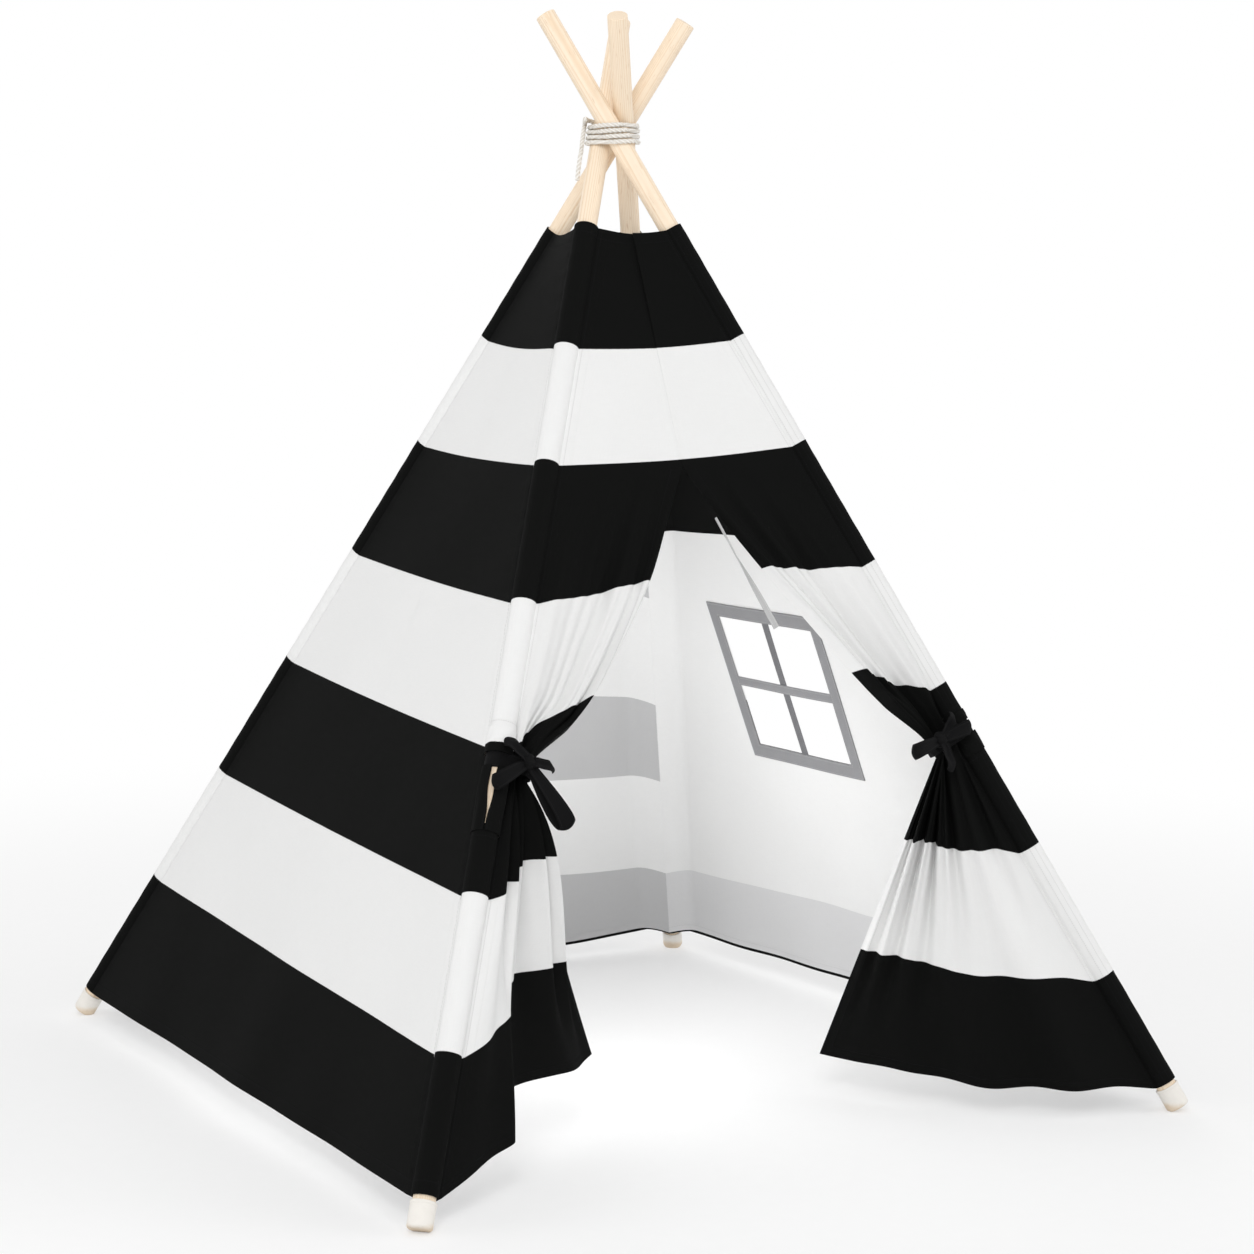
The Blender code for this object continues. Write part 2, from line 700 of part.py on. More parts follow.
def hull_point(poles, angle, height, extra):
    """A point of the rope's centre line round the poles, by the way it faces and its height.

    Of all poles, the rope touches the one that reaches furthest that way. A level cut through a
    leaning round pole is an ellipse, longer the way the pole leans."""
    face = np.array((cos(angle), sin(angle), 0.0))
    best = None
    for pole in poles.values():
        middle = pole.crossing + pole.inward * tan(pole.lean) * (height - CROSSING_HEIGHT)
        long_radius = POLE_RADIUS / cos(pole.lean)
        by_lean = long_radius**2 * (face @ pole.inward) * pole.inward
        by_side = POLE_RADIUS**2 * (face @ pole.hinge) * pole.hinge
        edge = (by_lean + by_side) / np.sqrt(face @ (by_lean + by_side))
        stand_off = (ROPE_RADIUS + ROPE_EASE) / np.sqrt(1 - (face @ pole.along) ** 2)
        point = middle + edge + face * (stand_off + extra)
        if best is None or point @ face > best @ face:
            best = point
    best[2] = height
    return best


def rope_route(poles, start_angle):
    """Four climbing turns, then over the top turn and straight down outside them."""
    route = []
    low = CROSSING_HEIGHT - ROPE_BELOW_CROSSING - ROPE_PITCH * ROPE_TURNS / 2
    high = low + ROPE_PITCH * ROPE_TURNS
    for step in range(POINTS_PER_TURN * ROPE_TURNS + 1):
        turns = step / POINTS_PER_TURN
        route.append(hull_point(poles, start_angle + 2 * pi * turns, low + ROPE_PITCH * turns, 0.0))
    top_angle = start_angle + OVER_ANGLE
    for share in OVER_STEP_SHARES:
        height = high + ROPE_OVER_RISE * sin(pi / 2 * share)
        route.append(hull_point(poles, start_angle + OVER_ANGLE * share, height, ROPE_PITCH * share**2))
    for share in DOWN_STEP_SHARES:
        height = between(high + ROPE_OVER_RISE, low - ROPE_DIAMETER, share)
        route.append(hull_point(poles, top_angle + DOWN_ANGLE * share, height, ROPE_STRAND_OUT))
    return np.array(route)


def least_gap(route, skip, diameter):
    """Least distance between stretches of a tube that lie some points apart, less its diameter."""
    steps = np.linspace(0, 1, 4, endpoint=False)[:, None]
    fine = np.concatenate([between(a, b, steps) for a, b in zip(route, route[1:])])
    span = np.linalg.norm(fine[:, None] - fine[None], axis=2)
    far = np.abs(np.subtract.outer(np.arange(len(fine)), np.arange(len(fine)))) > skip * 4
    return span[far].min() - diameter


def tube(name, route, diameter, resolution, collection):
    curve = bpy.data.curves.new(name, "CURVE")
    curve.dimensions = "3D"
    curve.bevel_depth = diameter / 2
    curve.bevel_resolution = resolution
    curve.use_fill_caps = True
    spline = curve.splines.new("POLY")
    spline.points.add(len(route) - 1)
    for point, place in zip(spline.points, route):
        point.co = (*place, 1.0)
    return add(name, curve, collection)


def build_lashing(poles, collection):
    route = rope_route(poles, ROPE_START_ANGLE)
    rope = tube("lashing_rope", route, ROPE_DIAMETER, 1, collection)
    paint(rope, ROPE, 0.95)
    print("rope: least gap to itself, mm", round(1000 * least_gap(route, 6, ROPE_DIAMETER), 2))
    clear = [
        np.linalg.norm(np.cross(route - pole.crossing, pole.along), axis=1).min() - POLE_RADIUS - ROPE_RADIUS
        for pole in poles.values()
    ]
    print("rope: least gap to a pole at its points, mm", round(1000 * min(clear), 2))
    end = route[-1]
    way = unit(route[-1] - route[-2])
    away = unit((end - poles["front_left"].crossing) * (1, 1, 0))
    start = end + way * CLEARANCE
    on, down, out = np.array(TAIL_SHARES).T * ROPE_TAIL
    tail = start + np.outer(on, way) - np.outer(down, UP) + np.outer(out, away)
    hanging = tube("lashing_tail", spaced(tail, np.linspace(0, 1, 9)), ROPE_DIAMETER, 2, collection)
    paint(hanging, ROPE, 0.95)


def new_empty(name, place, collection):
    item = bpy.data.objects.new(name, None)
    item.location = place
    collection.objects.link(item)
    return item


def main():
    clear_scene()
    collection = new_collection("kids_teepee")
    cutters = new_collection("cutters")
    poles = make_poles()
    front_left, front_right, rear_right, rear_left = poles.values()
    folds = {name: new_empty(f"{name}_fold", pole.crossing, collection) for name, pole in poles.items()}

    for name, pole in poles.items():
        if name.startswith("front"):
            lower_edge, upper_edge = SLEEVE_EDGES[name]
            sleeves = (
                (f"{name}_sleeve_lower", HEM_ALONG, lower_edge),
                (f"{name}_sleeve_upper", upper_edge, COVER_ALONG),
            )
        else:
            sleeves = ((f"{name}_sleeve", HEM_ALONG, COVER_ALONG),)
        build_pole(pole, collection, cutters, folds[name], sleeves)

    build_plain_panel("left_panel", Panel(rear_left, front_left), collection)
    build_plain_panel("rear_panel", Panel(rear_right, rear_left), collection)
    right = Panel(front_right, rear_right)
    right_body = build_plain_panel("right_panel", right, collection)
    build_window(right, right_body, collection, cutters)

    left_flap = Flap(front_left, front_right, LEFT_HEM_SHARES, LEFT_EDGE_SHARES, LEFT_BUNDLE_OFFSET)
    right_flap = Flap(front_right, front_left, RIGHT_HEM_SHARES, RIGHT_EDGE_SHARES, RIGHT_BUNDLE_OFFSET)
    left_swing = new_empty("left_flap_swing", front_left.point(TIE_ALONG), collection)
    right_swing = new_empty("right_flap_swing", front_right.point(TIE_ALONG), collection)
    build_flap("left", left_flap, collection, folds["front_left"], left_swing)
    build_flap("right", right_flap, collection, folds["front_right"], right_swing)
    left_loops = ((-60, LEFT_LONG_LOOP), (203, LEFT_SHORT_LOOP))
    left_tails = ((130, LEFT_TAIL), (-18, LEFT_TAIL))
    right_loops = ((197, RIGHT_LOOP), (18, RIGHT_LOOP))
    right_tails = ((52, RIGHT_TAIL), (-80, RIGHT_TAIL))
    build_bow("left", left_flap, left_loops, left_tails, collection, cutters, folds["front_left"])
    build_bow("right", right_flap, right_loops, right_tails, collection, cutters, folds["front_right"])
    build_lashing(poles, collection)


main()
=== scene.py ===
"""Kids teepee, dressed for the library: striped cloth cover on four lashed poles, flaps tied back.

Metres, +Z up, the door towards -Y. Lengths and routes repeat those of the part's source.
"""

import json
from math import acos, atan2, cos, hypot, log, pi, radians, sin, tan

import bmesh
import bpy
import numpy as np
from mathutils import Matrix, Vector


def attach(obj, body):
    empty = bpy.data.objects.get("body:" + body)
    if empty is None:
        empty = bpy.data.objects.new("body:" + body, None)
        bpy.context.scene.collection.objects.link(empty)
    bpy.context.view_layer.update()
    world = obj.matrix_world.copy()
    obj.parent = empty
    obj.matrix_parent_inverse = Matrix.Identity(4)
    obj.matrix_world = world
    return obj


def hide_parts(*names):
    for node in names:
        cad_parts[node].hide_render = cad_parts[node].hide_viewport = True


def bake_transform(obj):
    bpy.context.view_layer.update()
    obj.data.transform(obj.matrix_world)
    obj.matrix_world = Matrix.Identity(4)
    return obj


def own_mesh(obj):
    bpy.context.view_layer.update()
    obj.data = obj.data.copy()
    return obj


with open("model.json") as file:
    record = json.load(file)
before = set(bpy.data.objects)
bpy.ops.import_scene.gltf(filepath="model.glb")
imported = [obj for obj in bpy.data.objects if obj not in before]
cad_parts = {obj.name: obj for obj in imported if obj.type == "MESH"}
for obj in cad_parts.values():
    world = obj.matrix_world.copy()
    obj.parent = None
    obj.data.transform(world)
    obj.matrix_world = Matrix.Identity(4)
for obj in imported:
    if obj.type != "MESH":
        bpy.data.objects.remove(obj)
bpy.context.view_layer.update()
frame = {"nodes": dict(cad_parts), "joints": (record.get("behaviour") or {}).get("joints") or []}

# Footprint and crossing of the poles
FRONT_FEET_SPAN = 1.266
REAR_NARROWING = 0.124
FEET_DEPTH = 1.312
CROSSING_HEIGHT = 1.435
CROSSING_FORWARD = 0.038
INNER_POLE_OFFSET = 0.0156
FRONT_RIGHT_OFFSET = 0.0318
REAR_LEFT_OFFSET = 0.0390
POLE_PAST_CROSSING = 0.1883
POLE_RADIUS = 0.015
LOWEST_JOINT_BELOW_TIE = 0.171
POLE_SECTIONS = 4
SECTION_GAP = 0.0006
POLE_END_ROUND = 0.0015
CLEARANCE = 0.0003

# Foot caps
CAP_REACH = 0.042
CAP_WALL = 0.0020
CAP_FLOOR = 0.0085
CAP_PRESSED = 0.004
CAP_EDGE_ROUND = 0.0042
CAP_LIP_WIDTH = 0.004
CAP_LIP_PROUD = 0.0006
CAP_BEVEL = 0.0006

# Cover, along the poles from the floor
HEM_ALONG = 0.048
COVER_BELOW_CROSSING = 0.1807
SLIT_TOP_ALONG = 1.111
CLOTH = 0.0012
SLEEVE_RADIUS = 0.0182
SEAM_RADIUS = 0.0191
SEAM_ANGLE = radians(35)
LINING_INSET = radians(16)
TUCK = 0.0015
TOP_DIP = 0.006
REAR_SAG = 0.026
BAND_ALONG = 0.2097

# A sleeve's ease within its radius, and its small waves: pinched rings, and drags that slant
SLEEVE_EASE = 0.00022
SLEEVE_PINCH = 0.00016
SLEEVE_PINCH_PITCH = 0.043
SLEEVE_DRAG = 0.00010

# How far the two halves of a panel lie over each other at its middle line
MEET = 0.0015

# Slack of a panel: waves as height, turns per metre across and up, and share of the seed; then what
# hangs near the hem as height, turns per metre across and share of the seed; then the seams' puckers
SLACK_WAVES = ((0.0011, 9.0, 4.0, 1), (0.0009, -13.0, 7.0, 2), (0.0006, 21.0, -15.0, 3))
SLACK_HANGING = ((0.0030, 11.0, 1.3), (0.0014, 29.0, 1.0))
HANGING_REACH = 0.22
PUCKER_HEIGHT = 0.0009
PUCKER_PITCH = 0.031
PUCKER_REACH = 0.012

# Facings inside the two rear corners
CORNER_REACH = 0.048
CORNER_RADIUS = 0.0218

# Ties and gathered flaps
TIE_ALONG = 0.650
TIE_WIDTH = 0.024
SLEEVE_OPEN = {"front_left": (0.095, 0.038), "front_right": (0.030, 0.016)}
LEFT_BUNDLE_OFFSET = 0.034
RIGHT_BUNDLE_OFFSET = 0.052
BUNDLE_RADIUS = 0.0155
NECK_EDGE_INSET = 0.002
NECK_PAST_POLE = 0.0055
NECK_FOLD = 0.0075
SWAG_FOLD = 0.016
NECK_TAIL = 0.003
FLAP_GAP = 0.0008
FOLD_COUNT = 1.5
GATHER_START_SHARE = 0.76
GATHER_END_SHARE = 0.95

# A flap's folds: heights of the neck's pleats, of the folds along the free edge, of finer folds and
# what they gain towards the tie, of the edge's roll and its gain low down, and the roll's share across
NECK_PLEAT = 0.0021
EDGE_FOLD = 0.0075
FINE_FOLD = 0.0034
FINE_FOLD_GAIN = 0.0036
ROLL_HEIGHT = 0.0085
ROLL_GAIN = 0.0060
ROLL_SHARE = 0.14

# A flap's seam lies free this near the tie, and is drawn into the sleeve over the next stretch
SEAM_FREE = 0.018
SEAM_DRAWN_IN = 0.025

# How far the strips beside the ties run under the sleeve's cut end and under the strap
FACING_LAP = 0.010
STRAP_LAP = 0.002

# Share of the skirt, from the tie down, that is made as a collar between the pole and the swinging flap, and
# the share of that collar at which it would come wholly to the flap
COLLAR_SHARE = 0.17
COLLAR_BENT = 0.72

# Bows
RIBBON_THICK = 0.0009
RIBBON_WIDTH = 0.024
RIBBON_AT_KNOT = 0.011
RIBBON_AT_END = 0.0215
KNOT_WIDTH = 0.021
KNOT_HEIGHT = 0.024
KNOT_DEPTH = 0.018
LOOP_OPENING = 0.010
LOOP_BULGE = 0.0075
TAIL_LIFT = 0.007
ROUND_END = 0.0055
RIBBON_GUTTER = 0.0014
RIBBON_GATHER = 0.0022
RIBBON_GATHER_REACH = 0.014

# Tape inside the slit's top, from its sewn end to its free end
INNER_TAPE_ALONG = (1.100, 0.918)
INNER_TAPE_REACH = (0.1935, 0.1850)
INNER_TAPE_INSIDE = 0.019
INNER_TAPE_WIDTH = 0.015

# Window
WINDOW_WIDTH = 0.300
WINDOW_HEIGHT = 0.285
WINDOW_TAPE = 0.024
WINDOW_BAR = 0.016
WINDOW_MIDDLE_UP = 0.567
WINDOW_MIDDLE_REARWARD = 0.047

# Rope
ROPE_DIAMETER = 0.0072
ROPE_PITCH = 0.0080
ROPE_TURNS = 4
ROPE_EASE = 0.0007
ROPE_OVER_RISE = 0.0044
ROPE_STRAND_OUT = 0.0085
ROPE_BELOW_CROSSING = 0.0135
ROPE_TAIL = 0.052
ROPE_LAY = 0.021
ROPE_SIDES = 24
STRAND_ARM = 0.536
POINTS_PER_TURN = 24
ROPE_START_ANGLE = radians(92)
OVER_ANGLE = radians(60)
DOWN_ANGLE = radians(16)
OVER_STEP_SHARES = (0.25, 0.5, 0.75, 1.0)
DOWN_STEP_SHARES = (0.12, 0.3, 0.5, 0.7, 0.88, 1.0)

# The rope's tail, as shares of its length: on along the strand, down, and out from the poles
TAIL_SHARES = (
    (0.00, 0.00, 0.00),
    (0.15, 0.00, 0.00),
    (0.30, 0.00, 0.02),
    (0.30, 0.22, 0.06),
    (0.30, 0.46, 0.10),
    (0.30, 0.68, 0.12),
)
# Skirts' hems from the pole to the free edge, as shares of half the front: inward, front and rise
LEFT_HEM_SHARES = (
    (0.166, 0.079, 0.027),
    (0.253, 0.098, 0.043),
    (0.292, 0.087, 0.054),
    (0.335, 0.012, 0.056),
    (0.420, -0.019, 0.070),
    (0.520, 0.040, 0.094),
    (0.632, 0.098, 0.100),
    (0.727, 0.126, 0.097),
    (0.806, 0.142, 0.110),
)
RIGHT_HEM_SHARES = (
    (0.110, 0.079, 0.002),
    (0.200, 0.128, 0.000),
    (0.290, 0.140, 0.002),
    (0.380, 0.152, 0.000),
    (0.474, 0.128, 0.006),
    (0.560, 0.128, 0.012),
    (0.640, 0.090, 0.020),
    (0.720, 0.078, 0.022),
    (0.806, 0.035, 0.025),
)
# Free edges from the slit's top to the tie: share of the way down, share of the way from the seam to
# the middle line, and how far inside, as a share of half the front
LEFT_EDGE_SHARES = (
    (0.00, 1.000, 0.000),
    (0.20, 0.815, 0.012),
    (0.40, 0.674, 0.026),
    (0.60, 0.514, 0.036),
    (0.77, 0.374, 0.036),
    (0.90, 0.235, 0.020),
)
RIGHT_EDGE_SHARES = (
    (0.00, 1.000, 0.000),
    (0.20, 0.790, 0.012),
    (0.40, 0.580, 0.026),
    (0.60, 0.410, 0.032),
    (0.77, 0.305, 0.028),
    (0.90, 0.245, 0.014),
)
# Where the edges of the seven stripes lie on each pole, in stripe widths up from the hem
STRIPE_EDGES = {
    "rear_left": (0.05, 1.09, 2.11, 3.15, 4.13, 5.10, 6.02, 7.01),
    "front_left": (0.00, 0.90, 1.95, 2.98, 4.02, 5.06, 5.97, 6.96),
    "front_right": (-0.01, 0.87, 1.91, 3.22, 4.21, 5.19, 6.05, 7.00),
    "rear_right": (-0.02, 0.72, 1.76, 2.58, 3.68, 4.75, 5.85, 6.98),
}
FIRST_STRIPE = 0.004
LAST_STRIPE = 6.985
LAP_STRIPE_STEP = 0.035
LAP_ANGLE = 0.55
# Stripe count on a flap's free edge: at the tie, and below it by share of the way down
STRIPE_AT_TIE = 2.2
PLEAT_STEPS = 5
FREE_EDGE_FALL = (0.0, 0.27, 0.64, 1.0)
FREE_EDGE_STRIPES = (2.27, 2.0, 1.0, 0.0)

# Sleeve strips beside the ties: where, then degrees from the door's side round to the front, as the
# start at its low and high end and the end at its low and high end
FACINGS = {
    "left": (
        ("below", -12, -12, 119, 106),
        ("below", 226, 226, 123, 136),
        ("above", -12, -12, 226, 226),
    ),
    "right": (
        ("below", -12, -12, 150, 134),
        ("above", -12, -12, 140, 150),
    ),
}

# Cloth finishes
WHITE_CANVAS = (0.845, 0.845, 0.84)
BLACK_CANVAS = (0.0052, 0.0054, 0.0052)
BLACK_LINING_UP = 0.8417
BLACK_LINING_TILT = 0.036
YARN_PITCH = 0.00105
STITCH_PITCH = 0.0034
STITCH_LENGTH = 0.0024
STITCH_HALF_WIDTH = 0.0005
SEAM_STITCH = 0.0045
HEM_STITCH = 0.0175
HEM_EDGE = 0.0062
HEM_FOLD = (0.0185, 0.0200)
SEAM_FELL = (0.0155, 0.0170)
# Reach of the groove at each stripe's join, in stripe widths; the cloth's finish also darkens it there as
# painted shade.
STRIPE_JOIN = (0.004, 0.012)

# Camera, fitted to where the feet, pole tops and stripe edges fall in the photograph
CAMERA_AZIMUTH = radians(-31.38)
CAMERA_ELEVATION = radians(6.30)
CAMERA_ROLL = 0.01661
CAMERA_SPOT = (-2.39308, -4.02388, 1.19627)
CAMERA_LENS = 3083.06 / 1254
SENSOR = 36.0

# Lamps as name, place, size and watts, all aimed at one point, and a glow inside the teepee
LAMPS = (
    ("key", (-3.2, -4.4, 4.2), 2.6, 130.0),
    ("fill", (4.2, -2.6, 3.0), 3.0, 45.0),
    ("back", (1.5, 5.0, 3.5), 3.0, 45.0),
    ("side", (-5.0, 1.2, 2.4), 3.0, 30.0),
)
LAMPS_AIM = (0.0, 0.0, 0.6)
GLOW_SPOT = (-0.05, -0.05, 0.36)
GLOW_RADIUS = 0.32
GLOW_POWER = 5.2

# The world's strength as a light, the floor's reach, the ring in which it fades to white, and how
# much of that white is seen on it near the teepee
WORLD_LIGHT = 0.66
FLOOR_REACH = 14.0
FLOOR_FADE = (1.3, 3.2)
FLOOR_WHITE = 0.38

UP = np.array((0.0, 0.0, 1.0))
ROPE_RADIUS = ROPE_DIAMETER / 2
CAP_RADIUS = POLE_RADIUS + CLEARANCE + CAP_WALL
HALF_FRONT = FRONT_FEET_SPAN / 2
CROSSING_ALONG = hypot(CROSSING_HEIGHT, HALF_FRONT, FEET_DEPTH / 2 - CROSSING_FORWARD)
POLE_LENGTH = CROSSING_ALONG + POLE_PAST_CROSSING
COVER_ALONG = CROSSING_ALONG - COVER_BELOW_CROSSING
LOWEST_JOINT_ALONG = TIE_ALONG - LOWEST_JOINT_BELOW_TIE
NECK_END_ALONG = TIE_ALONG - TIE_WIDTH / 2 - NECK_TAIL
UPPER_SPAN = (COVER_ALONG, NECK_END_ALONG)
SKIRT_SPAN = (NECK_END_ALONG - FLAP_GAP, HEM_ALONG)
SLIT_SHARE = (COVER_ALONG - SLIT_TOP_ALONG) / (COVER_ALONG - NECK_END_ALONG)
TIE_SHARE = (COVER_ALONG - TIE_ALONG) / (COVER_ALONG - NECK_END_ALONG)
FOLD_ANGLE = radians(next(j["range_deg"][1] for j in frame["joints"] if j["name"] == "front_left_fold"))


def unit(vector):
    return vector / np.linalg.norm(vector)


def units(vectors):
    return vectors / np.linalg.norm(vectors, axis=-1, keepdims=True)


def between(low, high, share):
    return low + (high - low) * share


def eased(share):
    return share * share * (3 - 2 * share)


def swung(angle, first, second):
    """Ways at angles from the first way towards the second."""
    return np.multiply.outer(np.cos(angle), first) + np.multiply.outer(np.sin(angle), second)


def layers(*values):
    """The values as the three numbers that each point carries."""
    return np.stack(np.broadcast_arrays(*values), axis=-1)


def closed_up(values):
    """Columns round a closed form, the first one repeated at the end."""
    return np.concatenate((values, values[:, :1]), axis=1)


def run_along(line):
    """Distance run along a line, at each of its points."""
    return np.append(0, np.cumsum(np.linalg.norm(np.diff(line, axis=0), axis=1)))


def spaced(points, shares):
    """Points at shares of the way along a Catmull-Rom curve through the given points."""
    ends = np.vstack((2 * points[0] - points[1], points, 2 * points[-1] - points[-2]))
    place = np.clip(shares, 0, 1) * (len(points) - 1)
    first = np.clip(place.astype(int), 0, len(points) - 2)
    t = (place - first)[:, None]
    a, b, c, d = (ends[first + i] for i in range(4))
    return 0.5 * (2 * b + (c - a) * t + (2 * a - 5 * b + 4 * c - d) * t**2 + (3 * b - a - 3 * c + d) * t**3)


class Pole:
    """A pole's axis, the way it leans, and the hinge line on which it folds."""

    def __init__(self, name, foot_x, foot_y, offset):
        self.name = name
        self.body = f"{name}_pole"
        self.joint = f"{name}_fold"
        self.foot = np.array((foot_x, foot_y, 0.0))
        middle = np.array((0.0, -CROSSING_FORWARD, CROSSING_HEIGHT))
        to_middle = (middle - self.foot) * (1, 1, 0)
        self.crossing = middle + np.cross(UP, unit(to_middle)) * offset
        self.along = unit(self.crossing - self.foot)
        self.inward = unit(self.along * (1, 1, 0))
        self.hinge = np.cross(self.inward, UP)
        self.lean = acos(self.along[2])
        self.across = unit(np.cross(self.hinge, self.along))
        self.turn = np.array(Matrix.Rotation(FOLD_ANGLE, 3, Vector(self.hinge)))

    def point(self, along):
        return self.foot + np.multiply.outer(along, self.along)

    def offset(self, points):
        """The points' offsets from the axis, square to it."""
        offset = points - self.foot
        return offset - (offset @ self.along)[..., None] * self.along

    def towards(self, other):
        """Square to the pole, towards the other pole."""
        way = other.foot - self.foot
        return unit(way - self.along * (way @ self.along))

    def outward(self, other):
        """Square to the pole and to the panel between the two, away from the inside."""
        way = np.cross(self.along, self.towards(other))
        return unit(way) * np.sign(way @ (self.foot + other.foot))

    def seam(self, other, along):
        """Where the cloth between the two poles meets this pole's sleeve."""
        way = swung(SEAM_ANGLE, self.towards(other), self.outward(other))
        return self.point(along) + way * SEAM_RADIUS

    def stripes(self, along):
        """Stripe count up from the hem, at distances along the pole."""
        places = (along - HEM_ALONG) / BAND_ALONG
        count = np.interp(places, STRIPE_EDGES[self.name], np.arange(8.0), left=FIRST_STRIPE)
        return np.clip(count, FIRST_STRIPE, LAST_STRIPE)

    def folded(self, points):
        """The points turned about the hinge by the whole fold."""
        return (points - self.crossing) @ self.turn.T + self.crossing

    def unfolded(self, points):
        return (points - self.crossing) @ self.turn + self.crossing


def make_poles():
    """The four poles by name, in their order round the teepee, each with its two neighbours."""
    half_rear = HALF_FRONT - REAR_NARROWING / 2
    half_depth = FEET_DEPTH / 2
    ring = (
        Pole("front_left", -HALF_FRONT, -half_depth, INNER_POLE_OFFSET),
        Pole("front_right", HALF_FRONT, -half_depth, FRONT_RIGHT_OFFSET),
        Pole("rear_right", half_rear, half_depth, INNER_POLE_OFFSET),
        Pole("rear_left", -half_rear, half_depth, REAR_LEFT_OFFSET),
    )
    for number, pole in enumerate(ring):
        pole.before, pole.after = ring[number - 1], ring[(number + 1) % 4]
    return {pole.name: pole for pole in ring}


class Grid:
    """Points on a surface, rows by columns, with what the cloth finishes read at each corner.

    cloth holds metres across and along the cloth; sewn holds the stripe count, the distance to the
    nearest sewn edge and the distance to the nearest hem."""

    def __init__(self, points, cloth, sewn=None, wrap=False, hole=None):
        if wrap:
            points = closed_up(points)
        rows, columns = points.shape[:2]
        flat = np.arange(rows * columns).reshape(rows, columns)
        quads = np.stack((flat[:-1, :-1], flat[:-1, 1:], flat[1:, 1:], flat[1:, :-1]), axis=-1)
        if hole is not None:
            quads = quads[~hole]
        self.corners = quads.reshape(-1, 4)
        self.spots = points.reshape(-1, 3)
        self.cloth = cloth.reshape(-1, 3)
        self.sewn = np.zeros_like(self.spots) if sewn is None else sewn.reshape(-1, 3)
        self.slot = 0

    def middles(self):
        return self.spots[self.corners].mean(axis=1)

    def facing(self, away, chosen=slice(None)):
        """The grid, its faces turned over if those chosen look against the given ways."""
        a, b = (self.spots[self.corners[:, i + 2]] - self.spots[self.corners[:, i]] for i in (0, 1))
        if (np.cross(a, b) * away)[chosen].sum() < 0:
            self.corners = self.corners[:, ::-1]
        return self

    def around(self, pole):
        """The grid facing away from the pole's axis, judged on the faces farthest from it."""
        away = pole.offset(self.middles())
        distance = np.linalg.norm(away, axis=1)
        return self.facing(away, distance > 0.98 * distance.max())


def piece(name, grids, finish, body, node, thickness=0.0, weld=2e-6, sharp=radians(50)):
    """One object from surfaces: their doubles are merged, and cloth is given its thickness."""
    start = 0
    spots, corners, cloth, sewn, slots = [], [], [], [], []
    for grid in grids:
        corners.append(grid.corners + start)
        spots.append(grid.spots)
        cloth.append(grid.cloth[grid.corners].reshape(-1, 3))
        sewn.append(grid.sewn[grid.corners].reshape(-1, 3))
        slots.append(np.broadcast_to(grid.slot, len(grid.corners)))
        start += len(grid.spots)
    used, index = np.unique(np.concatenate(corners), return_inverse=True)
    mesh = bpy.data.meshes.new(name)
    mesh.from_pydata(np.concatenate(spots)[used].tolist(), [], index.reshape(-1, 4).tolist())
    for label, values in (("cloth", cloth), ("sewn", sewn)):
        layer = mesh.attributes.new(label, "FLOAT_VECTOR", "CORNER")
        layer.data.foreach_set("vector", np.concatenate(values).astype(np.float32).ravel())
    mesh.polygons.foreach_set("material_index", np.concatenate(slots).astype(np.int32))
    work = bmesh.new()
    work.from_mesh(mesh)
    bmesh.ops.remove_doubles(work, verts=work.verts, dist=weld)
    bmesh.ops.dissolve_degenerate(work, edges=work.edges, dist=weld)
    work.to_mesh(mesh)
    work.free()
    for material in FINISHES[finish]:
        mesh.materials.append(material)
    mesh.shade_smooth()
    mesh.set_sharp_from_angle(angle=sharp)
    item = bpy.data.objects.new(name, mesh)
    bpy.context.scene.collection.objects.link(item)
    if thickness:
        sharpen_rims(mesh)
        solid = item.modifiers.new("thickness", "SOLIDIFY")
        solid.thickness = thickness
        solid.offset = 0.0
        solid.use_even_offset = False
        if len(FINISHES[finish]) > 1:
            solid.material_offset = 1
    if body:
        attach(item, body)
    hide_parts(node)
    return item


def sharpen_rims(mesh):
    """Marks the open edges of a sheet as sharp, so that its cut edge shades apart from its faces."""
    uses = np.zeros(len(mesh.edges), int)
    sides = np.empty(len(mesh.loops), np.int32)
    mesh.loops.foreach_get("edge_index", sides)
    np.add.at(uses, sides, 1)
    edges = mesh.attributes.get("sharp_edge") or mesh.attributes.new("sharp_edge", "BOOLEAN", "EDGE")
    sharps = np.empty(len(mesh.edges), bool)
    edges.data.foreach_get("value", sharps)
    edges.data.foreach_set("value", sharps | (uses == 1))


def turned(pole, profile, sides=48):
    """A profile of radius and distance along the pole, turned about the pole's axis.

    A point is the pole's point plus the radius times cosine and sine on two square ways. cloth holds
    the two offsets from the axis and the distance along."""
    radius, along = np.array(profile).T[..., None]
    angle = np.linspace(0, 2 * pi, sides + 1)
    out = swung(angle[:-1], pole.hinge, pole.across)
    points = pole.point(along) + radius[..., None] * out
    cloth = layers(radius * np.cos(angle), radius * np.sin(angle), along)
    return Grid(points, cloth, wrap=True).around(pole)


